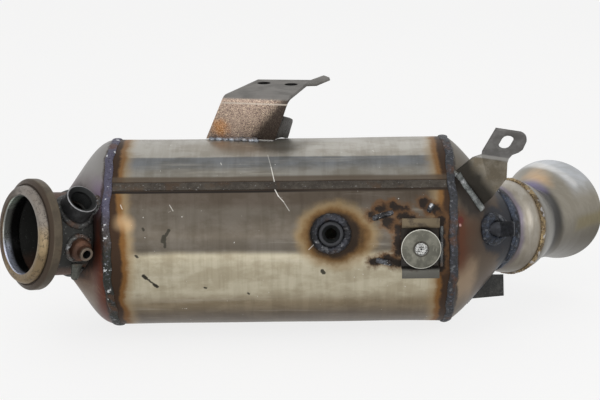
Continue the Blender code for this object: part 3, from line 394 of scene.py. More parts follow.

# The sheet's tones run along it, and most are painted reflection and painted shade over some heat tint:
# bare and pale low down, where it also reflects the floor, smoky at mid height where it reflects the dark
# room, blue-grey above the seam, pale again on top where it reflects the sky, and straw brown to dark on
# the underside, which is painted shade. Its far side is plain.
BARE_AND_FLOOR_REFLECTION, SMOKY_AND_ROOM_REFLECTION = (0.49, 0.445, 0.335), (0.122, 0.106, 0.086)
GREY, BLUE_GREY = (0.245, 0.235, 0.210), (0.165, 0.172, 0.178)
PALE_SKY_REFLECTION, STRAW_BROWN_AND_SHADE = (0.37, 0.355, 0.32), (0.25, 0.20, 0.13)
UNDERSIDE_SHADE, FAR_SIDE = (0.125, 0.095, 0.062), (0.27, 0.25, 0.21)
level = arc + patches.swing(7.0)
steel = barrel.coats(
    BARE_AND_FLOOR_REFLECTION,
    (SMOKY_AND_ROOM_REFLECTION, level.rise(2.5, 9.5)),
    ((0.085, 0.075, 0.062), level.near(12.0, 2.0, 9.0, 0.55)),
    ((0.085, 0.067, 0.052), level.near(52.0, 3.0, 11.0, 0.75)),
    (GREY, arc.rise(63.0, 69.0)),
    (BLUE_GREY, level.rise(76.0, 88.0)),
    (PALE_SKY_REFLECTION, (arc + clouds.swing(2.0)).rise(95.6, 97.8)),
    (STRAW_BROWN_AND_SHADE, level.fade(-48.0, -30.0)),
    (UNDERSIDE_SHADE, level.fade(-66.0, -46.0)),
    (FAR_SIDE, y.rise(-6.0, 30.0)),
    ((0.66, 0.62, 0.56), clouds.fade(0.40, 0.60, 0.6), "MULTIPLY"),
    ((0.72, 0.70, 0.66), hoops.fade(0.38, 0.56, 0.40), "MULTIPLY"),
    ((0.60, 0.56, 0.48), streaks.rise(0.56, 0.76, 0.22)),
    ((0.86, 0.84, 0.80), barrel.noise(330, 2, 0.5, shift=4.0).rise(0.745, 0.775, 0.5)),
)

# Straw, orange and brown run back from each girth weld in a ragged band, and beside the seam.
from_weld = (BARREL_END * 1000) - x.size()
ragged = barrel.noise(34, 5, 0.68, shift=2.1)
near_weld = from_weld + ragged.swing(10.0) + clouds.swing(6.0) - (arc - 3.0).size().fade(12.0, 36.0, 7.0, 3.0)
low_side = arc.fade(8.0, 62.0, 1.0, 0.85)
steel = barrel.coats(
    steel,
    ((0.30, 0.215, 0.115), near_weld.fade(9.0, 20.0, 0.85) * low_side),
    ((0.185, 0.082, 0.020), near_weld.fade(7.5, 12.5, 0.92) * low_side),
    ((0.040, 0.024, 0.016), near_weld.fade(3.6, 7.0, 0.95)),
)
# A painted highlight: a warm gold glow on the barrel's left end, by its weld.
glow = barrel.stroke(x, arc, (-132.5, 32.5), (-127.0, 31.0), 0.0, 10.0, clouds.swing(5.0))
steel = barrel.coats(
    steel,
    ((0.62, 0.42, 0.23), glow * 0.5),
    ((0.088, 0.066, 0.047), (arc - 66.0 + streaks.swing(3.0)).size().fade(6.0, 9.0, 0.85)),
    ((0.038, 0.027, 0.020), (arc - 63.4 + clouds.swing(2.0)).size().fade(4.4, 5.8, 0.96)),
    ((0.012, 0.010, 0.009), arc.near(58.3, 0.5, 1.3, 0.9) * x.fade(-20.0, 60.0, 1.0, 0.35)),
)

# A wide burnt halo lies round the temperature boss, darkest towards the channel bracket.
reach_x, reach_arc = x - 42.5, arc - 21.2
halo = (reach_x * reach_x + reach_arc * reach_arc) ** 0.5 + (barrel.noise(48, 5, 0.65, shift=5.0) - 0.5) * 15.0
skewed = halo - reach_x.most(0.0) * 0.22 + (reach_arc.most(0.0)) * 0.10
steel = barrel.coats(
    steel,
    ((0.27, 0.190, 0.095), skewed.fade(24.0, 35.0, 0.75)),
    ((0.128, 0.068, 0.024), skewed.fade(20.5, 28.0, 0.94)),
    ((0.026, 0.018, 0.013), skewed.fade(16.5, 22.5, 0.97)),
)

# Burnt stains where brackets were torn off and welded on: a brown edge round a black, ragged core.
torn = barrel.noise(150, 6, 0.72, shift=7.0)
for start, stop, width in (
    ((76.0, 37.0), (85.0, 42.0), 0.8), ((84.0, 41.5), (95.0, 43.0), 1.6), ((95.0, 43.5), (105.0, 40.0), 1.5),
    ((90.0, 31.5), (93.5, 29.0), 2.6), ((120.5, 46.0), (126.0, 42.0), 2.2), ((129.0, 41.0), (134.5, 34.0), 1.6),
    ((78.0, -3.5), (91.0, -1.5), 0.9), ((90.0, -1.0), (99.0, -4.5), 2.0), ((98.5, 26.0), (98.8, 4.0), 0.3),
    ((134.5, 32.0), (135.0, -10.0), 0.8), ((101.0, 35.0), (112.0, 33.5), 0.6),
):
    steel = barrel.coats(
        steel,
        ((0.115, 0.060, 0.028), barrel.stroke(x, arc, start, stop, width + 1.5, 6.5, torn.swing(15.0)) * 0.85),
        ((0.018, 0.014, 0.012), barrel.stroke(x, arc, start, stop, width + 0.8, 3.0, torn.swing(13.0)) * 0.97),
    )

# Black scuffs, small specks and one long pale scratch.
chipped = (barrel.noise(620, 4, 0.7) - 0.5) * 2.2
for start, stop, width in (
    ((-97.2, 18.0), (-92.4, 25.5), 0.9), ((-96.6, 20.0), (-97.4, 16.5), 1.5), ((-95.8, 18.0), (-96.0, 11.5), 0.7),
    ((-115.0, -13.8), (-104.5, -24.5), 0.45), ((-115.0, -14.0), (-113.0, -16.0), 1.2), (
        (-106.5, -23.0), (-104.0, -25.0), 1.0,
    ),
    ((-120.5, 4.2), (-119.0, 3.2), 0.6), ((35.2, -11.2), (36.2, -13.0), 1.3), ((-64.3, -26.5), (-63.0, -27.0), 0.5),
    ((-114.2, 27.2), (-113.4, 26.0), 0.6), ((-28.0, -33.0), (-27.0, -34.0), 0.5),
):
    steel = barrel.mix(steel, (0.030, 0.027, 0.020), barrel.stroke(x, arc, start, stop, width, 0.8, chipped) * 0.93)
for start, stop, strength in (
    ((-10.3, 99.0), (-7.2, 83.0), 0.35), ((-7.2, 83.0), (-4.2, 67.0), 0.85), ((-4.2, 67.0), (-4.4, 61.0), 0.8),
    ((-4.4, 61.0), (-1.0, 54.0), 0.8), ((-1.0, 54.0), (3.2, 49.0), 0.6), ((3.2, 49.0), (8.0, 41.0), 0.35),
    ((-92.0, 47.0), (-89.0, 42.0), 0.4), ((-50.2, 89.0), (-49.4, 86.6), 0.6), ((-133.0, 47.5), (-131.5, 44.0), 0.5),
    ((24.0, 8.0), (28.0, 12.0), 0.4),
):
    steel = barrel.mix(
        steel, (0.84, 0.82, 0.76), barrel.stroke(x, arc, start, stop, 0.05, 0.55, fine.swing(0.5)) * strength,
    )
barrel.done(
    steel, skewed.least(near_weld * 2.2).fade(16.0, 34.0, 0.60, 0.40) + streaks.swing(0.2),
    fine * 0.25 + streaks * 0.6 + hoops * 0.25, 0.35, 0.00035,
)

boss_out = outwards(14.7)
boss_foot = Vector((0.0425, 0.0, 0.0))
outer, inner = [], []
for station in np.linspace(-BARREL_END, BARREL_END, 121):
    row = ring((station, 0, 0), ALONG, BARREL_RADIUS)
    turn = np.arctan2(row[:, 2], -row[:, 1])
    dip = 0.00018 * (1 + np.sin(5 * turn + 11 * station)) + 0.00013 * (1 + np.sin(3 * turn + 31 * station + 1.3))
    dip += 0.00010 * (1 + np.sin(9 * turn - 57 * station))
    dip *= 1 - (abs(station) / BARREL_END) ** 6
    row[:, 1:] *= (1 - dip / BARREL_RADIUS)[:, None]
    outer.append(row)
    inner.insert(0, ring((station, 0, 0), ALONG, BARREL_RADIUS - SHELL_WALL))
shell = finished(
    "barrel_shell", skin("barrel_shell", outer + inner, closed=True), cutters=[rod(0.0065, boss_foot, boss_out, 0.2)]
)
keep("barrel_shell", smooth(shell), barrel.material, "heat_tinted_steel", "canister_shell")

# Pressed ends: each runs from a short straight edge at the barrel to a tilted round mouth. They are
# deep-drawn from sheet, smooth outside, and brown, purple and blue near their welds.
SEAT_GAP = 0.0003


def pressed_end(side, axis, centre, mouth_radius, fullness, drop, rows=44):
    outward = side * ALONG
    edge = (BARREL_END + SEAT_GAP) * outward
    start = ring(edge + 0.002 * outward, outward, BARREL_RADIUS)
    finish = ring(centre, axis, mouth_radius)
    rings = [ring(edge, outward, BARREL_RADIUS), ring(edge + 0.001 * outward, outward, BARREL_RADIUS)]
    span = np.linalg.norm(finish - start, axis=1)[:, None]
    inward = -start * np.array((0, 1, 1))
    inward /= np.linalg.norm(inward, axis=1)[:, None]
    control = start + span * (fullness * np.array(outward) + drop * inward)
    for step in range(rows + 1):
        t = step / rows
        rings.append((1 - t) ** 2 * start + 2 * t * (1 - t) * control + t * t * finish)
    return rings


NECK_AXIS = Vector((-0.783, -0.598, 0.172)).normalized()
NECK_ORIGIN = Vector((-BARREL_END + 0.0205, 0.0, 0.0))
NECK_RADIUS = 0.0355
MOUTH = 0.0205 * abs(NECK_AXIS.x) + BARREL_RADIUS * abs(NECK_AXIS.y) + 0.0046


def on_neck(distance):
    return NECK_ORIGIN + distance * NECK_AXIS


dome = Finish("tinted_dome", metallic=0.8)
x, y, z = dome.axes()
patches = dome.noise(22, 5, 0.62)
fine = dome.noise(800, 3, 0.7)
smoke = dome.noise(55, 6, 0.68, bend=0.8)
height = z + patches.swing(34.0)
tint = dome.coats(
    (0.16, 0.115, 0.080),
    ((0.105, 0.050, 0.030), height.rise(-44.0, -12.0)),
    ((0.165, 0.135, 0.140), height.rise(14.0, 34.0)),
    ((0.225, 0.215, 0.205), height.rise(42.0, 66.0)),
    ((0.050, 0.033, 0.021), z.fade(-70.0, -44.0)),
)
from_weld = (x.size() - BARREL_END * 1000) + smoke.swing(9.0)
tint = dome.coats(
    tint,
    ((0.175, 0.115, 0.215), z.near(50.0, 4.0, 18.0, 0.45) * from_weld.fade(8.0, 20.0)),
    ((0.100, 0.026, 0.014), from_weld.fade(9.0, 18.0, 0.9) * height.fade(26.0, 46.0)),
    ((0.030, 0.020, 0.016), from_weld.fade(3.4, 6.0, 0.9)),
)
near_neck = dome.from_point(on_neck(MOUTH)) + smoke.swing(20.0)
tint = dome.coats(
    tint,
    ((0.024, 0.021, 0.019), near_neck.fade(35.0, 45.0, 0.95) * (z + smoke.swing(20.0)).rise(-46.0, -20.0)),
    ((0.30, 0.20, 0.12), smoke.rise(0.56, 0.74, 0.40) * z.fade(-30.0, 0.0)),
    ((0.020, 0.016, 0.014), dome.noise(95, 4, 0.7, shift=3.0).rise(0.64, 0.72, 0.75) * z.fade(-20.0, 10.0)),
    (FAR_SIDE, (y + patches.swing(16.0)).rise(4.0, 36.0)),
)
dome.done(tint, near_neck.fade(38.0, 60.0, 0.6, 0.42) + patches.swing(0.2), fine * 0.4 + smoke * 0.6, 0.3, 0.0003)
dome_skin = skin("v_band_dome", pressed_end(-1, NECK_AXIS, on_neck(MOUTH), NECK_RADIUS, 0.30, 0.03))
keep(
    "v_band_dome", smooth(finished("v_band_dome", dome_skin, wall=PRESSED_WALL)), dome.material,
    "heat_tinted_steel", "v_band_end_cone",
)

PIPE_AXIS = Vector((0.780, 0.607, -0.132)).normalized()
PIPE_ORIGIN = Vector((BARREL_END + 0.0405, 0.0, 0.0))
PORT_PLACE = Vector((0.1843, -0.050, 0.0142))
COLLAR_RADIUS = 0.036


def on_pipe(distance):
    return PIPE_ORIGIN + distance * PIPE_AXIS


cone = Finish("tinted_cone", metallic=0.8)
x, y, z = cone.axes()
patches = cone.noise(26, 5, 0.62)
fine = cone.noise(800, 3, 0.7)
smoke = cone.noise(60, 6, 0.68, bend=0.8)
height = z + patches.swing(30.0)
tint = cone.coats(
    (0.260, 0.190, 0.125),
    ((0.080, 0.047, 0.030), height.rise(-20.0, 4.0)),
    ((0.115, 0.098, 0.074), height.rise(22.0, 46.0)),
    ((0.110, 0.084, 0.056), height.fade(-54.0, -30.0)),
    ((0.070, 0.052, 0.038), (x + smoke.swing(10.0)).rise(160.0, 172.0, 0.85)),
)
from_weld = (x.size() - BARREL_END * 1000) + smoke.swing(10.0)
tint = cone.coats(
    tint,
    ((0.092, 0.032, 0.016), from_weld.fade(6.0, 17.0, 0.85) * z.near(12.0, 16.0, 38.0)),
    ((0.030, 0.022, 0.018), from_weld.fade(3.2, 6.0, 0.92)),
)
near_port = cone.from_point(PORT_PLACE) + smoke.swing(14.0)
near_leg = cone.from_point((0.163, -0.052, 0.048)) + smoke.swing(14.0)
near_mouth = cone.from_point(on_pipe(-0.004)) + smoke.swing(12.0)
tint = cone.coats(
    tint,
    ((0.024, 0.026, 0.032), near_port.fade(17.0, 22.5, 0.97)),
    ((0.026, 0.021, 0.018), near_leg.fade(16.0, 28.0, 0.92)),
    ((0.024, 0.026, 0.032), near_mouth.fade(41.0, 48.0, 0.96) * z.rise(-48.0, -34.0)),
    ((0.085, 0.060, 0.042), (cone.from_point((0.172, -0.045, -0.034)) + smoke.swing(10.0)).fade(8.0, 20.0, 0.7)),
)
# A small dimple on the cone is painted, not pressed in: a dark red pit with painted shade in it and a painted pink
# highlight on its lower rim, and a black speck.
for spot, reach, tone, strength in (
    ((0.1515, -0.0745, 0.0300), 4.6, (0.10, 0.022, 0.018), 0.9),
    ((0.1508, -0.0762, 0.0262), 1.8, (0.50, 0.30, 0.28), 0.80),
    ((0.1870, -0.0420, -0.0120), 1.4, (0.014, 0.012, 0.012), 0.90),
):
    tint = cone.mix(tint, tone, (cone.from_point(spot) + fine.swing(1.6)).fade(0.4 * reach, reach, strength))
tint = cone.mix(tint, FAR_SIDE, (y + patches.swing(16.0)).rise(8.0, 40.0))
cone.done(
    tint, near_port.least(near_mouth).fade(16.0, 50.0, 0.5, 0.42) + patches.swing(0.2),
    fine * 0.4 + smoke * 0.6, 0.3, 0.0003,
)
cone_skin = skin("flare_cone", pressed_end(1, PIPE_AXIS, on_pipe(-0.004), COLLAR_RADIUS, 0.284, 0.17))
cone_mesh = finished(
    "flare_cone", cone_skin, wall=PRESSED_WALL,
    cutters=[rod(0.00425, PORT_PLACE - 0.014 * ALONG, ALONG, 0.026)],
)
keep("flare_cone", smooth(cone_mesh), cone.material, "heat_tinted_steel", "flare_end_cone")

# Weld beads: each is drawn along a path that lies on the joint, as a flat-bottomed bead with the
# crescent ripples and uneven swelling of hand welding. One node tree makes them all.


def bead_tree():
    group = bpy.data.node_groups.new("weld_bead", "GeometryNodeTree")
    group.is_modifier = True
    group.interface.new_socket("Path", in_out="INPUT", socket_type="NodeSocketGeometry")
    for name in ("Half Width", "Height", "Pitch", "Ripple", "Lumps", "Lump Scale", "Seed"):
        group.interface.new_socket(name, in_out="INPUT", socket_type="NodeSocketFloat")
    group.interface.new_socket("Finish", in_out="INPUT", socket_type="NodeSocketMaterial")
    group.interface.new_socket("Bead", in_out="OUTPUT", socket_type="NodeSocketGeometry")
    tree = Tree(group)
    given = tree.node("NodeGroupInput")
    line = tree.node("GeometryNodeMeshToCurve", sockets={"Mesh": given})
    even = tree.node("GeometryNodeResampleCurve", {"mode": "LENGTH"}, {"Curve": line, "Length": 0.0005})
    out = tree.node("GeometryNodeInputNamedAttribute", {"data_type": "FLOAT_VECTOR"}, {"Name": "out"})
    stood = tree.node("GeometryNodeSetCurveNormal", {"mode": "FREE"}, {"Curve": even, "Normal": out})
    travelled = tree.node("GeometryNodeSplineParameter", output="Length")
    number = {"data_type": "FLOAT", "domain": "POINT"}
    marked = tree.node(
        "GeometryNodeStoreNamedAttribute", number, {"Geometry": stood, "Name": "along", "Value": travelled},
    )
    circle = tree.node("GeometryNodeCurvePrimitiveCircle", sockets={"Resolution": 18, "Radius": 1.0})
    split = tree.node("ShaderNodeSeparateXYZ", sockets={0: tree.node("GeometryNodeInputPosition")})
    sideways = split.also(1)
    crossed = tree.node(
        "GeometryNodeStoreNamedAttribute", number, {"Geometry": circle, "Name": "across", "Value": sideways},
    )
    section = tree.node(
        "ShaderNodeCombineXYZ",
        sockets={0: split.most(-0.3) * given.also("Height"), 1: sideways * given.also("Half Width")},
    )
    profile = tree.node("GeometryNodeSetPosition", sockets={"Geometry": crossed, "Position": section})
    body = tree.node(
        "GeometryNodeCurveToMesh", sockets={"Curve": marked, "Profile Curve": profile, "Fill Caps": True}
    )
    along = tree.node("GeometryNodeInputNamedAttribute", {"data_type": "FLOAT"}, {"Name": "along"})
    across = tree.node("GeometryNodeInputNamedAttribute", {"data_type": "FLOAT"}, {"Name": "across"})
    wave = ((along / given.also("Pitch") - across * across * 0.8) * (2 * math.pi)).sine()
    noise = {"noise_dimensions": "4D"}
    spot = {"Vector": tree.node("GeometryNodeInputPosition"), "W": given.also("Seed"), "Detail": 3.0}
    swell = tree.node("ShaderNodeTexNoise", noise, {**spot, "Scale": given.also("Lump Scale")})
    grain = tree.node("ShaderNodeTexNoise", noise, {**spot, "Scale": given.also("Lump Scale") * 5.0})
    rise = wave * given.also("Ripple") + (swell - 0.62 + grain.swing(0.45)) * given.also("Lumps")
    facing = tree.node("GeometryNodeInputNormal")
    push = tree.node("ShaderNodeVectorMath", {"operation": "SCALE"}, {0: facing, "Scale": rise})
    moved = tree.node("GeometryNodeSetPosition", sockets={"Geometry": body, "Offset": push})
    real = tree.node("GeometryNodeRealizeInstances", sockets={"Geometry": moved})
    coated = tree.node("GeometryNodeSetMaterial", sockets={"Geometry": real, "Material": given.also("Finish")})
    tree.node("NodeGroupOutput", sockets={0: coated})
    return group


weld_bead = bead_tree()


def bead(name, path, outs, half_width, height, finish, slot, *nodes, cyclic=False, pitch=0.0022,
         ripple=0.00010, lumps=0.0009, lump_scale=170.0, seed=0.0):
    """One bead along a path, which leans away from the surface by its outs."""
    mesh = bpy.data.meshes.new(name)
    count = len(path)
    edges = [(i, i + 1) for i in range(count - 1)] + ([(count - 1, 0)] if cyclic else [])
    mesh.from_pydata([tuple(Vector(p) + MIDDLE) for p in path], edges, [])
    facing = mesh.attributes.new("out", "FLOAT_VECTOR", "POINT")
    for item, out in zip(facing.data, outs):
        item.vector = Vector(out).normalized()
    work = placed(name, mesh)
    modifier = work.modifiers.new("bead", "NODES")
    modifier.node_group = weld_bead
    values = {
        "Half Width": half_width, "Height": height, "Pitch": pitch, "Ripple": ripple, "Lumps": lumps,
        "Lump Scale": lump_scale, "Seed": seed, "Finish": finish.material,
    }
    for item in weld_bead.interface.items_tree:
        if item.in_out == "INPUT" and item.name in values:
            modifier[item.identifier] = values[item.name]
    return keep(name, smooth(mended(applied(work)), 60), finish.material, slot, *nodes)


def weld_finish(name, light, dark, rust, sparkle=0.35, metallic=0.7, blobs=0.0):
    """Scale-covered weld metal: dark hollows, lighter crests, bits of rust and a few bright spots."""
    finish = Finish(name, metallic=metallic)
    blotch = finish.noise(70, 5, 0.65)
    crust = finish.noise(420, 5, 0.7)
    glint = finish.noise(650, 2, 0.5, shift=2.0)
    colour = finish.coats(
        dark,
        (light, (blotch * 0.6 + crust * 0.4).rise(0.40, 0.62)),
        (rust, finish.noise(45, 4, 0.6, shift=8.0).rise(0.52, 0.66, 0.7)),
        ((0.75, 0.75, 0.74), glint.rise(0.67, 0.74, sparkle)),
    )
    bright = finish.noise(150, 3, 0.55, shift=6.0).rise(0.56, 0.64, blobs)
    colour = finish.mix(colour, (0.55, 0.56, 0.58), bright)
    finish.done(colour, glint.most(bright).fade(0.62, 0.74, 0.52, 0.25), crust + glint * 0.3, 0.8, 0.0006)
    return finish


# Girth welds, where each end meets the barrel: blue and violet above, green-black below.
girth = Finish("girth_weld_scale", metallic=0.7)
x, y, z = girth.axes()
blotch = girth.noise(60, 5, 0.65)
crust = girth.noise(380, 5, 0.7)
height = z + blotch.swing(40.0)
colour = girth.coats(
    (0.030, 0.032, 0.027),
    ((0.058, 0.050, 0.046), height.rise(2.0, 18.0)),
    ((0.085, 0.080, 0.118), height.rise(24.0, 44.0)),
    ((0.040, 0.042, 0.047), x.rise(-20.0, 20.0)),
    ((0.21, 0.21, 0.27), crust.rise(0.54, 0.70, 0.5)),
    ((0.016, 0.015, 0.014), crust.fade(0.30, 0.46, 0.9)),
    ((0.12, 0.052, 0.022), girth.noise(40, 4, 0.6, shift=8.0).rise(0.54, 0.66, 0.6)),
)
glint = girth.noise(210, 3, 0.55, shift=2.0).rise(0.62, 0.67) * x.fade(-20.0, 20.0, 1.0, 0.15)
colour = girth.mix(colour, (0.72, 0.73, 0.75), glint * 0.75)
girth.done(colour, glint.fade(0.1, 0.9, 0.50, 0.22), crust, 0.9, 0.0008)


def ring_path(centre, axis, radius, count=240):
    points = ring(centre, axis, radius, count)
    return points, points - np.array(centre)


for name, side, node, seed in (
    ("left_girth_bead", -1, "v_band_girth_weld", 1.0), ("right_girth_bead", 1, "flare_girth_weld", 5.0),
):
    path, outs = ring_path((side * (BARREL_END + 0.0001), 0, 0), ALONG, BARREL_RADIUS + 0.0001)
    turn = np.linspace(0.0, 2 * math.pi, len(path), endpoint=False)
    path[:, 0] += 0.0006 * np.sin(9 * turn + seed) + 0.0004 * np.sin(23 * turn + seed)
    bead(name, path, outs, 0.0036, 0.0013, girth, "blue_grey_weld", node, cyclic=True, lumps=0.0010,
         ripple=0.00012, pitch=0.0026, seed=seed)

# Seam weld along the rolled sheet: flat, dark and even, with small bright spots.
seam_weld = weld_finish("seam_weld_scale", (0.072, 0.062, 0.050), (0.040, 0.033, 0.027), (0.070, 0.043, 0.026), 0.35)
seam_out = outwards(44.3)
seam_reach = BARREL_END - 0.0044
path = [Vector((seam_reach * (i / 60 - 1), 0, 0)) + (BARREL_RADIUS - 0.0002) * seam_out for i in range(121)]
bead("seam_bead", path, [seam_out] * 121, 0.0037, 0.0008, seam_weld, "blue_grey_weld", "seam_weld",
     lumps=0.00018, ripple=0.00003, pitch=0.0019, seed=3.0)

# The neck: a short bored tube, burnt charcoal black between brown ends, with both ports' holes.
OXYGEN_ANGLE, FITTING_ANGLE = 48.5, -7.02


def around(axis, degrees):
    """The direction square to axis, at this angle above its near side."""
    near = axis.cross(UP).normalized()
    if near.y > 0:
        near.negate()
    over = axis.cross(near).normalized()
    if over.z < 0:
        over.negate()
    return math.cos(math.radians(degrees)) * near + math.sin(math.radians(degrees)) * over


def rounded(corners, radius, steps=4):
    """A closed outline, given in millimetres, with each corner rounded."""
    points = []
    for i, corner in enumerate(corners):
        before, here, after = Vector(corners[i - 1]), Vector(corner), Vector(corners[(i + 1) % len(corners)])
        one, two = before - here, after - here
        start = here + one.normalized() * min(radius, 0.45 * one.length)
        stop = here + two.normalized() * min(radius, 0.45 * two.length)
        for step in range(steps + 1):
            t = step / steps
            points.append(tuple((1 - t) ** 2 * start + 2 * t * (1 - t) * here + t * t * stop))
    return points


def lathe(name, outline, origin, axis, count=128, cutters=()):
    """A turned piece from its closed outline of (radius, height) points in millimetres."""
    axis = Vector(axis).normalized()
    rows = [ring(Vector(origin) + h * MM * axis, axis, r * MM, count) for r, h in outline]
    mesh = skin(name, rows, closed=True)
    return smooth(finished(name, mesh, cutters=cutters) if cutters else mesh)


neck = Finish("charred_neck", metallic=0.55)
x, y, z = neck.axes()
smoke = neck.noise(60, 5, 0.65, bend=0.5)
crust = neck.noise(500, 4, 0.7)
from_middle = ((z - 18.0).size() + smoke.swing(16.0))
colour = neck.coats(
    (0.026, 0.026, 0.024),
    ((0.095, 0.048, 0.030), from_middle.rise(21.0, 33.0, 0.95)),
    ((0.17, 0.12, 0.080), from_middle.rise(33.0, 42.0, 0.6)),
    ((0.17, 0.18, 0.17), crust.rise(0.60, 0.70, 0.55)),
)
neck.done(colour, crust.fade(0.55, 0.72, 0.62, 0.32), crust + smoke * 0.5, 0.6, 0.0004)
neck_start, neck_length = MOUTH + SEAT_GAP, 0.0338
port_along = MOUTH + 0.0130
oxygen_axis = around(NECK_AXIS, OXYGEN_ANGLE)
fitting_axis = around(NECK_AXIS, FITTING_ANGLE)
neck_mesh = lathe(
    "neck_tube", [(35.5, 33.8), (35.5, 0.0), (33.5, 0.0), (33.5, 33.8)], on_neck(neck_start), NECK_AXIS, 160,
    [rod(0.0092, on_neck(port_along), oxygen_axis, 0.06), rod(0.0032, on_neck(port_along), fitting_axis, 0.06)],
)
keep("neck_tube", neck_mesh, neck.material, "burnt_steel", "v_band_neck")
neck_weld = weld_finish(
    "neck_weld_scale", (0.075, 0.075, 0.073), (0.020, 0.020, 0.019), (0.085, 0.043, 0.025), 0.4, 0.55, 0.25,
)
path, outs = ring_path(on_neck(MOUTH + 0.0036), NECK_AXIS, NECK_RADIUS + 0.0002)
ports_out = around(NECK_AXIS, (OXYGEN_ANGLE + FITTING_ANGLE) / 2)
clear = [i for i in range(len(path)) if Vector(outs[i]).normalized().dot(ports_out) < math.cos(math.radians(60))]
start = next(k for k, i in enumerate(clear) if k and i != clear[k - 1] + 1) if clear[0] == 0 else 0
order = clear[start:] + clear[:start]
bead("neck_bead", path[order], outs[order], 0.0026, 0.0019, neck_weld, "blue_grey_weld", "v_band_neck_weld", seed=7.0)

# V-band flange: turned from bar. A clamp pulls on the slanted back of its rim, the raised lip centres
# the gasket, and its bore is black inside with a blue and silver lower edge.
rim = Finish("oxidised_flange", metallic=0.75)
flange_foot = neck_start + neck_length + SEAT_GAP
deep, radial = rim.on_axis(on_neck(flange_foot), NECK_AXIS)
x, y, z = rim.axes()
rust = rim.noise(42, 5, 0.62, bend=0.4)
crust = rim.noise(420, 4, 0.7)
cracks = rim.noise(75, 5, 0.7, bend=1.0, shift=4.0)
colour = rim.coats(
    (0.070, 0.056, 0.040),
    ((0.115, 0.092, 0.064), rust.rise(0.38, 0.62)),
    ((0.052, 0.030, 0.018), rust.rise(0.52, 0.68, 0.75)),
    ((0.056, 0.039, 0.027), deep.rise(7.6, 8.3, 0.9)),
)
height = z + rust.swing(26.0)
# The lip: bronze, silvery higher up, with a painted gold highlight streak along it at mid height.
lip_colour = rim.coats(
    (0.205, 0.148, 0.082),
    ((0.225, 0.198, 0.172), height.rise(14.0, 40.0)),
    ((0.34, 0.255, 0.145), height.near(22.0, 2.0, 14.0, 0.7)),
    ((0.055, 0.036, 0.025), (y + rust.swing(16.0)).rise(-66.0, -50.0, 0.85)),
    ((0.085, 0.038, 0.018), crust.rise(0.60, 0.72, 0.6)),
    ((0.020, 0.016, 0.013), cracks.near(0.5, 0.004, 0.014, 0.85)),
    ((0.030, 0.020, 0.014), deep.fade(9.6, 10.8)),
)
colour = rim.mix(colour, lip_colour, radial.fade(41.3, 41.8))
bore_colour = rim.coats(
    (0.30, 0.31, 0.29),
    ((0.75, 0.80, 0.98), height.fade(-2.0, 12.0, 0.95)),
    ((0.55, 0.64, 0.54), height.near(44.0, 3.0, 10.0, 0.8)),
    ((0.012, 0.012, 0.012), deep.fade(7.0, 12.0)),
)
colour = rim.mix(colour, bore_colour, radial.fade(32.9, 33.6))
rim.done(colour, radial.fade(33.5, 40.0, 0.30, 0.48) + crust.swing(0.3), crust + rust * 0.5, 0.5, 0.0004)
flange_outline = rounded(
    [
        (32.75, 14.6), (34.2, 16.5), (38.3, 16.5), (40.3, 14.8), (41.3, 12.2), (41.3, 9.4), (42.3, 9.4),
        (42.8, 10.2), (47.1, 7.6), (47.1, 0.8), (46.3, 0.0), (32.75, 0.0),
    ],
    0.8,
)
flange_mesh = lathe("v_band_rim", flange_outline, on_neck(flange_foot), NECK_AXIS, 224)
keep("v_band_rim", flange_mesh, rim.material, "bronze_tinted_casting", "v_band_flange")
path, outs = ring_path(on_neck(neck_start + neck_length - 0.0010), NECK_AXIS, NECK_RADIUS + 0.0002)
bead(
    "rim_bead", path, outs, 0.0018, 0.0022, neck_weld, "blue_grey_weld", "flange_weld", cyclic=True,
    lumps=0.0007, seed=9.0,
)

# Oxygen sensor boss: bored and threaded, burnt black outside, with a bright worn lip.
carriers = {}


def landing(start, direction, *nodes):
    """Where a line from start first meets these CAD nodes, and the way the surface faces there."""
    best = None
    for name in nodes:
        if name not in carriers:
            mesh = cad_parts[name].data
            carriers[name] = BVHTree.FromPolygons([v.co for v in mesh.vertices], [p.vertices for p in mesh.polygons])
        place, facing, _, distance = carriers[name].ray_cast(Vector(start) + MIDDLE, Vector(direction))
        if place is not None and (best is None or distance < best[2]):
            best = (place - MIDDLE, facing, distance)
    return best


def foot_bead(name, foot, axis, radius, half_width, height, finish, slot, node, on, lift=0.02, **more):
    """A bead round the foot of a boss, laid on whatever carries it."""
    axis = Vector(axis).normalized()
    path, outs = [], []
    for point in ring(Vector(foot) + lift * axis, axis, radius, 72):
        found = landing(point, -axis, *on)
        if found is None:
            continue
        away = (Vector(point) - Vector(foot)).normalized()
        away = (away - away.dot(axis) * axis).normalized()
        path.append(found[0] + 0.0004 * found[1])
        outs.append(found[1] * 0.8 + away * 0.4 + axis * 0.3)
    return bead(name, path, outs, half_width, height, finish, slot, node, cyclic=True, **more)


def boss_scale(name, body, lip, axis, foot, lip_start, bore_radius, bore=(0.012, 0.013, 0.013), metallic=0.65):
    """Burnt boss: its outer side keeps the scale, its worn end face shows metal, its bore is black."""
    finish = Finish(name, metallic=metallic)
    rise, radial = finish.on_axis(foot, axis)
    crust = finish.noise(520, 5, 0.7)
    blotch = finish.noise(110, 4, 0.6)
    colour = finish.mix(body, tuple(c * 2.4 for c in body), blotch.rise(0.45, 0.65, 0.7))
    worn = (rise + crust.swing(0.8)).rise(lip_start, lip_start + 0.5)
    colour = finish.coats(
        colour,
        (lip, worn * blotch.rise(0.30, 0.52, 0.5) + worn * 0.5),
        (bore, radial.fade(bore_radius, bore_radius + 0.5)),
    )
    finish.done(colour, worn.fade(0.2, 0.9, 0.58, 0.30), crust + blotch * 0.4, 0.6, 0.0005)
    return finish.material


def thread(radius, top, bottom, pitch, cut):
    """The outline of a threaded bore or stub, from its bottom up. A bore cuts outwards."""
    points, height = [(radius, bottom)], bottom + pitch
    while height + pitch / 2 < top:
        points += [(radius + cut, height - pitch / 2), (radius, height)]
        height += pitch
    return points


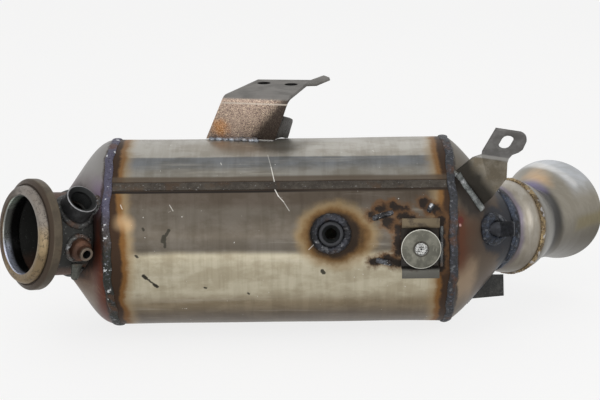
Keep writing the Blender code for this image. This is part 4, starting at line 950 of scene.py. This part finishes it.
oxygen_foot = on_neck(port_along) + NECK_RADIUS * oxygen_axis
oxygen_scale = boss_scale(
    "oxygen_boss_scale", (0.026, 0.026, 0.027), (0.30, 0.30, 0.31), oxygen_axis, oxygen_foot, 14.3, 12.5,
)
outline = [
    (13.75, -3.0), *thread(9.2, 12.0, -3.0, 1.5, 0.45), (9.3, 12.6), (12.0, 15.0), (12.9, 15.0), (13.5, 14.6),
    (13.75, 13.9),
]
keep(
    "oxygen_boss", lathe("oxygen_boss", outline, oxygen_foot, oxygen_axis, 96), oxygen_scale, "burnt_steel",
    "oxygen_sensor_boss",
)
foot_bead("oxygen_bead", oxygen_foot, oxygen_axis, 0.0150, 0.0029, 0.0022, neck_weld, "blue_grey_weld",
          "oxygen_sensor_boss_weld", ("v_band_neck", "v_band_end_cone"), seed=11.0)

# Pressure fitting: a stepped stub, rusty below and worn grey round its mouth, with a short tongue of
# plate on its weld.
fitting_foot = on_neck(port_along) + NECK_RADIUS * fitting_axis
rusty_scale = boss_scale(
    "rusty_fitting", (0.060, 0.028, 0.016), (0.135, 0.108, 0.082), fitting_axis, fitting_foot, 12.6, 3.3,
    metallic=0.5,
)
outline = rounded(
    [
        (3.2, 14.2), (4.0, 15.0), (5.4, 15.0), (5.9, 14.2), (5.9, 8.4), (8.0, 7.5), (9.25, 6.0), (9.25, -3.0),
        (3.2, -3.0),
    ],
    0.5, 3,
)
keep(
    "pressure_stub", lathe("pressure_stub", outline, fitting_foot, fitting_axis, 72), rusty_scale,
    "burnt_steel", "pressure_fitting",
)
stub_weld = weld_finish(
    "stub_weld_scale", (0.11, 0.11, 0.105), (0.030, 0.027, 0.024), (0.12, 0.05, 0.024), 0.4, 0.55, 0.6,
)
foot_bead("pressure_bead", fitting_foot, fitting_axis, 0.0104, 0.0024, 0.0020, stub_weld, "blue_grey_weld",
          "pressure_fitting_weld", ("v_band_neck", "v_band_end_cone"), seed=13.0)


def dressed(name, node, material, slot, bevel=0.0004, cutters=()):
    """A sheet piece: its CAD solid with merged faces, round holes and softened edges."""
    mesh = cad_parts[node].data.copy()
    shape = bmesh.new()
    shape.from_mesh(mesh)
    bmesh.ops.remove_doubles(shape, verts=shape.verts, dist=1e-6)
    bmesh.ops.dissolve_limit(shape, angle_limit=math.radians(1.0), verts=shape.verts, edges=shape.edges)
    shape.to_mesh(mesh)
    shape.free()
    result = finished(name, mesh, cutters=cutters, bevel=bevel)
    for layer in list(result.uv_layers):
        result.uv_layers.remove(layer)
    return keep(name, smooth(result, 34), material, slot, node)


tongue_steel = weld_finish(
    "tongue_scale", (0.105, 0.110, 0.095), (0.035, 0.035, 0.030), (0.10, 0.06, 0.04), 0.2, 0.55,
)
dressed("tongue", "fitting_tab", tongue_steel.material, "burnt_steel", 0.0006)

# Temperature boss on the barrel, in a thick burnt weld with a worn chamfer ring round its bore.
sensor_foot = boss_foot + BARREL_RADIUS * boss_out
sensor_scale = boss_scale(
    "temperature_boss_scale", (0.020, 0.020, 0.022), (0.022, 0.023, 0.026), boss_out, sensor_foot, 4.6, 6.7,
)
outline = [
    (10.5, -1.2), *thread(4.75, 3.4, -3.2, 1.25, 0.35), (6.5, 4.3), (6.8, 4.5), (7.4, 6.2), (8.0, 6.5),
    (9.2, 6.5), (10.1, 6.1), (10.5, 5.2),
]
keep(
    "temperature_socket", lathe("temperature_socket", outline, sensor_foot, boss_out, 96), sensor_scale,
    "burnt_steel", "temperature_boss",
)
burnt_weld = weld_finish(
    "burnt_weld_scale", (0.048, 0.050, 0.062), (0.012, 0.012, 0.013), (0.040, 0.024, 0.017), 0.3, 0.7, 0.12,
)
foot_bead("temperature_bead", sensor_foot, boss_out, 0.0132, 0.0041, 0.0037, burnt_weld, "burnt_steel",
          "temperature_boss_weld", ("canister_shell",), pitch=0.0034, ripple=0.00020, lumps=0.0020,
          lump_scale=90.0, seed=15.0)

# Channel bracket on the barrel: two brims of folded sheet, tan above and grey below, that hold a round
# disc on a sleeve and a rivet. The rivet's driven head is swirled and bright.
channel_out, channel_up = outwards(7.0), outwards(97.0)
channel_foot = Vector((BARREL_END - 0.02825, 0, 0)) + (BARREL_RADIUS + SEAT_GAP) * channel_out
sheet = Finish("channel_sheet", metallic=0.75, roughness=0.5)
x, y, z = sheet.axes()
crust = sheet.noise(400, 4, 0.7)
blotch = sheet.noise(90, 4, 0.6)
colour = sheet.coats(
    (0.095, 0.092, 0.080),
    ((0.135, 0.105, 0.066), z.rise(0.0, 20.0)),
    ((0.045, 0.034, 0.026), blotch.rise(0.48, 0.64, 0.8)),
    ((0.26, 0.24, 0.20), crust.rise(0.62, 0.72, 0.5)),
    # Painted shade: the sheet goes near black between the brims, in the channel behind the disc.
    ((0.020, 0.017, 0.015), z.near(10.0, 15.0, 18.0, 0.92)),
)
sheet.done(colour, None, crust, 0.4, 0.0003)
dressed("channel_sheet", "channel_bracket", sheet.material, "bracket_sheet", 0.0003)
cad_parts["spacer_sleeve"].data.materials[0] = sheet.material
side_weld = weld_finish(
    "side_weld_scale", (0.16, 0.17, 0.17), (0.045, 0.045, 0.046), (0.09, 0.06, 0.04), 0.4, 0.65, 0.3,
)
path = [
    channel_foot + Vector((0.0178, 0, 0)) + 0.0001 * channel_out + (0.0170 - 0.034 * i / 24) * channel_up
    for i in range(25)
]
bead("channel_bead", path, [channel_out] * 25, 0.0019, 0.0028, side_weld, "blue_grey_weld", "channel_bracket_weld",
     lumps=0.0012, seed=17.0)

disc_foot = channel_foot + (0.0016 + SEAT_GAP + 0.0090 + SEAT_GAP) * channel_out
disc = Finish("disc_steel", metallic=0.8, roughness=0.42)
scratches = disc.noise(500, 4, 0.7, stretch=(1, 1, 0.35))
grime = disc.noise(110, 4, 0.6)
_, radial = disc.on_axis(disc_foot, channel_out)
colour = disc.coats(
    (0.088, 0.086, 0.070),
    ((0.150, 0.146, 0.120), grime.rise(0.40, 0.62)),
    ((0.28, 0.275, 0.23), scratches.rise(0.58, 0.72, 0.6)),
    ((0.60, 0.59, 0.53), radial.rise(15.8, 16.2, 0.9)),
    ((0.040, 0.036, 0.030), radial.near(6.0, 0.3, 1.3, 0.8)),
)
disc.done(colour, None, scratches, 0.3, 0.0002)
disc_outline = rounded([(3.3, 1.6), (16.5, 1.6), (16.5, 0.0), (3.3, 0.0)], 0.4, 3)
keep(
    "round_disc", lathe("round_disc", disc_outline, disc_foot, channel_out), disc.material, "bright_steel",
    "disc_washer",
)

rivet = Finish("driven_rivet", metallic=0.9, roughness=0.28)
swirl = rivet.noise(420, 3, 0.6, bend=3.0)
rivet.done(rivet.mix((0.11, 0.11, 0.105), (0.70, 0.70, 0.68), swirl.rise(0.42, 0.56)), None, swirl, 0.9, 0.0008)
outline = [
    (0.9, 0.9), (1.9, 1.1), (2.6, 2.0), (3.6, 2.2), (4.6, 1.7), (5.3, 0.8), (5.3, 0.0), (3.0, 0.0),
    (3.0, -11.4), (0.9, -11.4),
]
rivet_mesh = lathe("rivet", outline, disc_foot + 0.0018 * channel_out, channel_out, 64)
keep("rivet", rivet_mesh, rivet.material, "bright_steel", "disc_rivet")

# Weld stubs: crusted ends of old welds on the barrel, each with a bright broken spot.
stub_scale = weld_finish(
    "stub_scale", (0.12, 0.125, 0.14), (0.018, 0.017, 0.017), (0.07, 0.04, 0.022), 0.7, 0.75, 0.9,
)
for name, node, at, degrees, length, turn, seed in (
    ("upper_stub", "weld_stub_upper", 0.0860, 25.1, 0.019, 16.0, 21.0),
    ("lower_stub", "weld_stub_lower", 0.0870, -2.3, 0.015, -12.0, 23.0),
    ("right_stub", "weld_stub_right", 0.1260, 29.2, 0.009, 60.0, 25.0),
):
    out = outwards(degrees)
    run = Matrix.Rotation(math.radians(turn), 3, out) @ ALONG
    shares = [i / 16 - 0.5 for i in range(17)]
    path = [
        Vector((at, 0, 0)) + (BARREL_RADIUS - 0.0001 - 0.0022 * (2 * abs(share)) ** 4) * out + run * length * share
        for share in shares
    ]
    bead(
        name, path, [out] * 17, 0.0026, 0.0024, stub_scale, "burnt_steel", node, lumps=0.0022, lump_scale=260.0,
        seed=seed,
    )

# Support bracket: a leaning leg and a level plate of folded sheet with two bolt holes and a bent
# tongue. The leg is speckled pinkish tan with an orange spot low down, the plate is plain dark grey.
PLATE_HOLES = ((-0.0149, 0.0614), (0.0101, 0.0537))
bracket = Finish("speckled_bracket", metallic=0.75)
bracket.shader.inputs["Specular Tint"].default_value = (0.35, 0.35, 0.35, 1.0)
x, y, z = bracket.axes()
speck = bracket.noise(950, 3, 0.85)
blotch = bracket.noise(45, 4, 0.6)
grime = bracket.noise(160, 5, 0.65)
leg = z.fade(118.0, 120.5)
colour = bracket.mix((0.245, 0.235, 0.222), (0.185, 0.178, 0.168), blotch.rise(0.40, 0.60))
brown = bracket.mix(
    (0.45, 0.335, 0.275), (0.200, 0.150, 0.118), (x - z * 0.5 + blotch.swing(20.0)).rise(-86.0, -42.0),
)
_, from_spot = bracket.on_axis((-0.053, 0.0, 0.092), Vector((0.0, 1.0, 0.0)))
brown = bracket.coats(
    brown,
    ((0.62, 0.27, 0.08), (from_spot + grime.swing(12.0)).fade(2.0, 11.0, 0.85)),
    ((0.085, 0.058, 0.042), grime.rise(0.60, 0.72, 0.4)),
    ((0.95, 0.80, 0.58), speck.rise(0.54, 0.62, 0.75)),
    ((0.03, 0.022, 0.018), speck.fade(0.38, 0.47, 0.8)),
    # Painted shade: the leg goes dark towards its lower right, by the gusset.
    ((0.040, 0.030, 0.026), (x - (z - 85.0) * 0.8 + grime.swing(8.0)).rise(-31.0, -20.0, 0.9)),
    ((0.62, 0.55, 0.47), z.near(115.5, 0.4, 1.0, 0.6)),
)
colour = bracket.mix(colour, brown, leg)
for hole in PLATE_HOLES:
    _, radial = bracket.on_axis((*hole, 0.12), UP)
    colour = bracket.mix(colour, (0.010, 0.010, 0.010), radial.fade(5.9, 6.3, 0.96))
bracket.done(colour, leg.fade(0.0, 1.0, 0.65, 0.50), speck * leg + grime * 0.3, 0.5, 0.0003)
bolt_holes = [rod(0.0058, (*hole, 0.110), UP, 0.02, 64) for hole in PLATE_HOLES]
dressed("support_plate", "support_bracket", bracket.material, "bracket_sheet", 0.0004, bolt_holes)

gusset_steel = weld_finish(
    "gusset_scale", (0.105, 0.100, 0.095), (0.050, 0.045, 0.042), (0.09, 0.055, 0.04), 0.15, 0.65,
)
dressed("plate_gusset", "support_bracket_gusset", gusset_steel.material, "bracket_sheet", 0.0004)
foot_weld = weld_finish("foot_weld_scale", (0.42, 0.46, 0.52), (0.10, 0.10, 0.11), (0.20, 0.12, 0.07), 0.6, 0.75, 0.5)
corners = np.array([v.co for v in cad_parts["support_bracket_weld"].data.vertices]) - np.array(MIDDLE)
path, outs = [], []
for left in np.linspace(corners[:, 0].min() + 0.0015, corners[:, 0].max() - 0.0015, 41):
    depth = corners[np.argsort(abs(corners[:, 0] - left))[:10], 1].mean()
    outs.append(Vector((0, depth, math.sqrt(BARREL_RADIUS**2 - depth**2))).normalized())
    path.append(Vector((left, 0, 0)) + (BARREL_RADIUS + 0.0001) * outs[-1])
bead(
    "foot_bead_front", path, outs, 0.0024, 0.0023, foot_weld, "blue_grey_weld", "support_bracket_weld",
    lumps=0.0011, seed=27.0,
)

# Slotted bracket on the cone: a speckled brown leg that goes near black along its weld, folded to a clean grey tab
# with a long slot.
tab = Finish("slotted_tab", metallic=0.75)
tab.shader.inputs["Specular Tint"].default_value = (0.4, 0.4, 0.4, 1.0)
x, y, z = tab.axes()
speck = tab.noise(1300, 3, 0.8)
grime = tab.noise(70, 5, 0.62)
fold = z + x * 0.16
leg = fold.fade(103.0, 107.5)
colour = tab.mix((0.185, 0.180, 0.175), (0.130, 0.125, 0.120), grime.rise(0.42, 0.62))
brown = tab.coats(
    (0.205, 0.185, 0.150),
    ((0.135, 0.115, 0.085), grime.rise(0.40, 0.62)),
    ((0.36, 0.29, 0.20), speck.rise(0.58, 0.68, 0.45)),
)
colour = tab.coats(
    colour,
    (brown, leg),
    ((0.34, 0.33, 0.31), fold.near(106.5, 0.8, 2.2, 0.7)),
    ((0.020, 0.018, 0.015), (x * 0.8 + z * 0.58 + grime.swing(14.0)).fade(167.0, 178.0, 0.94)),
)
tab.done(colour, leg.fade(0.0, 1.0, 0.55, 0.55), speck * leg + grime * 0.3, 0.4, 0.0003)
dressed("slotted_tab", "slotted_bracket", tab.material, "bracket_sheet", 0.0004)


def laid_path(first, last, direction, out, lift, nodes, count=33):
    """Points on these nodes under a straight line, seen along a direction, and the way each one faces."""
    path, outs = [], []
    for i in range(count):
        found = landing(Vector(first).lerp(Vector(last), i / (count - 1)), direction, *nodes)
        if found:
            path.append(found[0] + lift * found[1])
            outs.append(found[1] + Vector(out))
    return path, outs


chalky_weld = weld_finish("chalky_weld", (0.25, 0.27, 0.26), (0.075, 0.080, 0.080), (0.10, 0.09, 0.07), 0.4, 0.5, 0.4)
path, outs = laid_path((0.1490, -0.30, 0.0650), (0.1715, -0.30, 0.0330), (0, 1, 0), (0, -0.5, 0), 0.0003,
                       ("flare_end_cone", "slotted_bracket"))
bead("leg_bead", path, outs, 0.0034, 0.0026, chalky_weld, "blue_grey_weld", "slotted_bracket_weld", lumps=0.0018,
     lump_scale=120.0, seed=29.0)

# Lower bracket: a flat plate under the cone, painted near black as painted shade, for it lies in shadow, with a
# blue-burnt weld.
plate_in_painted_shade = weld_finish(
    "plate_in_painted_shade", (0.055, 0.054, 0.050), (0.022, 0.022, 0.021), (0.045, 0.033, 0.024), 0.15, 0.5,
)
dressed("lower_plate", "lower_bracket", plate_in_painted_shade.material, "burnt_steel", 0.0004)
blue_weld = weld_finish("blue_weld", (0.10, 0.14, 0.23), (0.028, 0.032, 0.045), (0.05, 0.045, 0.04), 0.3, 0.75, 0.2)
path, outs = laid_path((0.1640, -0.0211, -0.30), (0.1855, -0.0211, -0.30), (0, 0, 1), (0, -0.6, 0), 0.0002,
                       ("flare_end_cone",), 25)
bead(
    "lower_bead", path, outs, 0.0026, 0.0024, blue_weld, "blue_grey_weld", "lower_bracket_weld", lumps=0.0012,
    seed=31.0,
)

# Bulged collar, its welds and the flared pipe: light satin steel with painted highlight streaks, that tapers
# to a throat painted dark as shade and opens into a bell with straw, violet and blue rings.
COLLAR_START, COLLAR_LENGTH, BULGE = -0.0037, 0.026, 0.04225
collar = Finish("collar_steel", metallic=0.85)
x, y, z = collar.axes()
along, _ = collar.on_axis(PIPE_ORIGIN, PIPE_AXIS)
hoops = collar.noise(260, 3, 0.6, stretch=(1, 0.25, 0.25))
cloud = collar.noise(40, 4, 0.6)
fine = collar.noise(900, 3, 0.7)
colour = collar.coats(
    (0.29, 0.265, 0.225),
    ((0.37, 0.345, 0.30), cloud.rise(0.38, 0.62)),
    # A painted highlight: a narrow pale streak up the collar's upper side, part way along it.
    ((0.62, 0.57, 0.50), along.near(12.0, 0.5, 4.0, 0.55) * z.near(16.0, 2.0, 16.0)),
    ((0.155, 0.108, 0.058), (along + cloud.swing(5.0)).rise(19.0, 24.0, 0.85)),
    ((0.125, 0.105, 0.165), (along + cloud.swing(5.0)).fade(3.0, 8.0, 0.7)),
    ((0.018, 0.019, 0.022), (along + cloud.swing(4.0)).fade(0.5, 3.0, 0.94)),
    ((0.105, 0.085, 0.058), z.fade(-32.0, -4.0, 0.75)),
    ((0.68, 0.64, 0.56), hoops.fade(0.42, 0.58, 0.35), "MULTIPLY"),
)
collar.done(colour, 0.36 + hoops.swing(0.2), fine * 0.4 + hoops * 0.5, 0.25, 0.0003)
stations = []
for share in np.linspace(0.0, 1.0, 29).tolist():
    swell = (BULGE - COLLAR_RADIUS) * math.sin(math.pi / 2 * share)
    centre = on_pipe(COLLAR_START + (COLLAR_LENGTH - COLLAR_START) * share)
    stations.append((centre, PIPE_AXIS, COLLAR_RADIUS + swell))
keep("collar", smooth(tube("collar", stations, PRESSED_WALL)), collar.material, "bright_steel", "bulged_collar")

scaly_weld = weld_finish(
    "scaly_weld", (0.36, 0.27, 0.145), (0.070, 0.050, 0.030), (0.17, 0.095, 0.040), 0.7, 0.8, 0.6,
)
path, outs = ring_path(on_pipe(COLLAR_LENGTH + 0.0001), PIPE_AXIS, BULGE)
bead("joint_bead", path, outs, 0.0030, 0.0017, scaly_weld, "blue_grey_weld", "pipe_joint_weld", cyclic=True,
     lumps=0.0018, pitch=0.0030, ripple=0.00024, lump_scale=210.0, seed=33.0)
blue_black = weld_finish(
    "blue_black_weld", (0.060, 0.074, 0.105), (0.016, 0.017, 0.020), (0.035, 0.03, 0.028), 0.35, 0.75, 0.15,
)
path, outs = ring_path(on_pipe(-0.0030), PIPE_AXIS, 0.0363)
bead(
    "collar_bead", path, outs, 0.0045, 0.0026, blue_black, "burnt_steel", "flare_neck_weld", cyclic=True,
    lumps=0.0014, seed=35.0,
)

pipe = Finish("flared_pipe_steel", metallic=0.88)
x, y, z = pipe.axes()
along, _ = pipe.on_axis(PIPE_ORIGIN, PIPE_AXIS)
cloud = pipe.noise(34, 4, 0.6)
fine = pipe.noise(900, 3, 0.7)
brushed = pipe.noise(240, 3, 0.6, stretch=(0.3, 1, 0.3))
reach = along + cloud.swing(4.0)
colour = pipe.coats(
    (0.115, 0.084, 0.048),
    ((0.215, 0.208, 0.188), reach.rise(27.0, 32.0)),
    # Painted shade: the pipe goes dark where it narrows into the throat.
    ((0.036, 0.034, 0.031), reach.rise(44.0, 54.0)),
    ((0.245, 0.225, 0.185), reach.rise(60.0, 71.0)),
    ((0.44, 0.455, 0.475), reach.rise(84.0, 96.0) * (z + cloud.swing(14.0)).rise(12.0, 34.0)),
    # Painted highlights: a gold streak up the bell and a pale streak near its rim.
    ((0.54, 0.34, 0.17), pipe.stroke(z, along, (34.0, 72.0), (44.0, 84.0), 1.0, 10.0, cloud.swing(8.0)) * 0.7),
    ((0.20, 0.17, 0.34), pipe.stroke(z, along, (30.0, 62.0), (38.0, 68.0), 1.5, 8.0, cloud.swing(8.0)) * 0.6),
    ((0.66, 0.66, 0.66), pipe.stroke(z, along, (38.0, 90.0), (26.0, 98.0), 0.8, 5.0, cloud.swing(6.0)) * 0.6),
    ((0.075, 0.064, 0.044), (z + cloud.swing(12.0)).fade(-30.0, 8.0, 0.88) * reach.rise(50.0, 62.0)),
    ((0.20, 0.165, 0.075), (z + 8.0).size().fade(2.0, 10.0, 0.55) * reach.rise(82.0, 94.0)),
    ((0.090, 0.080, 0.062), (z + cloud.swing(12.0)).fade(-46.0, -16.0, 0.7)),
    ((0.72, 0.70, 0.65), brushed.fade(0.40, 0.60, 0.35), "MULTIPLY"),
)
pipe.done(colour, 0.34 + brushed.swing(0.18), fine * 0.3 + brushed * 0.5, 0.22, 0.0003)
FLARE_AXIS = Vector((0.500, 0.866, 0.0)).normalized()
THROAT_RADIUS, MOUTH_RADIUS, STRAIGHT, FLARE = 0.0325, 0.0487, 0.034, 0.053
throat = on_pipe(COLLAR_LENGTH + STRAIGHT)
stations = [(on_pipe(COLLAR_LENGTH + SEAT_GAP), PIPE_AXIS, BULGE)]
for past in [*np.linspace(0.002 - STRAIGHT, 0.0, 29).tolist(), *np.linspace(0.0, FLARE, 33).tolist()[1:]]:
    aim = PIPE_AXIS.lerp(FLARE_AXIS, float(np.interp(past, (-0.008, 0.0, 0.013, FLARE / 2), (0.0, 0.5, 0.875, 1.0))))
    if past <= 0:
        taper = 0.5 - 0.5 * math.cos(math.pi * past / (STRAIGHT - 0.002))
        stations.append((throat + past * PIPE_AXIS, aim, THROAT_RADIUS + (BULGE - THROAT_RADIUS) * taper))
    else:
        radius = THROAT_RADIUS + (MOUTH_RADIUS - THROAT_RADIUS) * (past / FLARE) ** 1.15
        stations.append((throat + past * FLARE_AXIS, aim, radius))
keep("flared_pipe", smooth(tube("flared_pipe", stations, PRESSED_WALL)), pipe.material, "bright_steel", "flare_pipe")

# Threaded port beside the flared pipe: a short black stub with a fine outside thread, in a large weld.
port_scale = boss_scale("port_scale", (0.020, 0.021, 0.025), (0.13, 0.135, 0.150), ALONG, PORT_PLACE, 14.9, 4.4)
outline = [
    (4.25, -8.0), (6.6, -8.0), (6.6, 3.2), *thread(6.35, 15.0, 3.6, 1.2, 0.55), (6.6, 15.0), (6.1, 15.5),
    (4.7, 15.5), (4.25, 15.0),
]
keep("threaded_port", lathe("threaded_port", outline, PORT_PLACE, ALONG, 72), port_scale, "burnt_steel", "cone_port")
foot_bead("port_bead", PORT_PLACE, ALONG, 0.0100, 0.0046, 0.0036, blue_black, "blue_grey_weld", "cone_port_weld",
          ("flare_end_cone",), lift=0.03, lumps=0.0024, lump_scale=110.0, seed=37.0)

# Bricks inside, seen only through the open ends: honeycomb ceramic, every other cell of it plugged, drawn
# as a plain grid of cell walls without the plugs, in mats of mineral fibre.
for node, light, dark, cell in (
    ("filter_brick", (0.16, 0.16, 0.165), (0.02, 0.02, 0.02), 1.9),
    ("catalyst_brick", (0.30, 0.24, 0.17), (0.05, 0.035, 0.022), 1.3),
):
    ceramic = Finish(f"{node}_cells", metallic=0.0, roughness=0.9)
    x, y, z = ceramic.axes()
    wave_y = ceramic.node("ShaderNodeMath", {"operation": "PINGPONG"}, {0: y + 500.0, 1: cell})
    wave_z = ceramic.node("ShaderNodeMath", {"operation": "PINGPONG"}, {0: z + 500.0, 1: cell})
    wall = wave_y.least(wave_z).fade(0.12 * cell, 0.3 * cell)
    colour = ceramic.coats(
        dark,
        (light, wall),
        ((0.02, 0.02, 0.02), ceramic.noise(30, 4, 0.6).fade(0.4, 0.6, 0.2, 0.8)),
    )
    ceramic.done(colour, None, wall, 0.8, 0.0008)
    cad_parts[node].data.materials[0] = ceramic.material
for node in ("filter_mat", "catalyst_mat"):
    fibre = Finish(f"{node}_fibre", metallic=0.0, roughness=0.95)
    strands = fibre.noise(700, 5, 0.75, stretch=(1, 0.3, 0.3))
    fibre.done(fibre.mix((0.36, 0.33, 0.28), (0.62, 0.58, 0.50), strands), None, strands, 0.8, 0.0008)
    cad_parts[node].data.materials[0] = fibre.material

# Floor and light: a plain pale floor under the canister, soft even light from above and the front.
floor_mesh = bpy.data.meshes.new("floor")
floor_z = cad_box[0][2] - 0.0005
floor_mesh.from_pydata(
    [(-4, -4, floor_z), (4, -4, floor_z), (4, 4, floor_z), (-4, 4, floor_z)], [], [(0, 1, 2, 3)]
)
floor = placed("floor", floor_mesh)
paper = bpy.data.materials.new("pale_floor")
paper.use_nodes = True
paper.node_tree.nodes.clear()
floor_mesh.materials.append(paper)


def seen(tree):
    """1 for what the camera sees, straight or in a reflection, and 0 for the light that falls on things."""
    ray = tree.node("ShaderNodeLightPath", output="Is Camera Ray")
    return ray.most(ray.also("Is Glossy Ray")).most(ray.also("Is Transmission Ray"))


surface = Tree(paper.node_tree)
matt = surface.node("ShaderNodeBsdfDiffuse", sockets={"Color": (0.86, 0.86, 0.86)})
glow = surface.node("ShaderNodeEmission", sockets={"Color": (1.0, 1.0, 1.0)})
blend = surface.node("ShaderNodeMixShader", sockets={0: seen(surface) * 0.8, 1: matt, 2: glow})
surface.node("ShaderNodeOutputMaterial", sockets={"Surface": blend})

world = bpy.data.worlds.new("studio")
world.use_nodes = True
world.node_tree.nodes.clear()
bpy.context.scene.world = world
sky = Tree(world.node_tree)
light = sky.node("ShaderNodeBackground", sockets={"Color": (1.0, 0.99, 0.97), "Strength": 0.6})
white = sky.node("ShaderNodeBackground", sockets={"Color": (1.0, 1.0, 1.0), "Strength": 1.0})
blend = sky.node("ShaderNodeMixShader", sockets={0: seen(sky), 1: light, 2: white})
sky.node("ShaderNodeOutputWorld", sockets={"Surface": blend})
for name, place, size, power in (
    ("key_light", Vector((-0.7, -1.1, 1.3)), 0.9, 4.0),
    ("fill_light", Vector((1.0, -0.9, 0.6)), 0.8, 3.0),
    ("low_light", Vector((-0.1, -1.4, -0.08)), 0.9, 5.0),
    ("back_light", Vector((0.2, 1.2, 0.9)), 0.9, 1.0),
):
    lamp = bpy.data.lights.new(name, "AREA")
    lamp.size = size
    lamp.energy = power
    holder = placed(name, lamp)
    holder.location = place
    holder.rotation_euler = (place - MIDDLE).to_track_quat("Z", "Y").to_euler()
bpy.context.scene.view_settings.view_transform = "Standard"
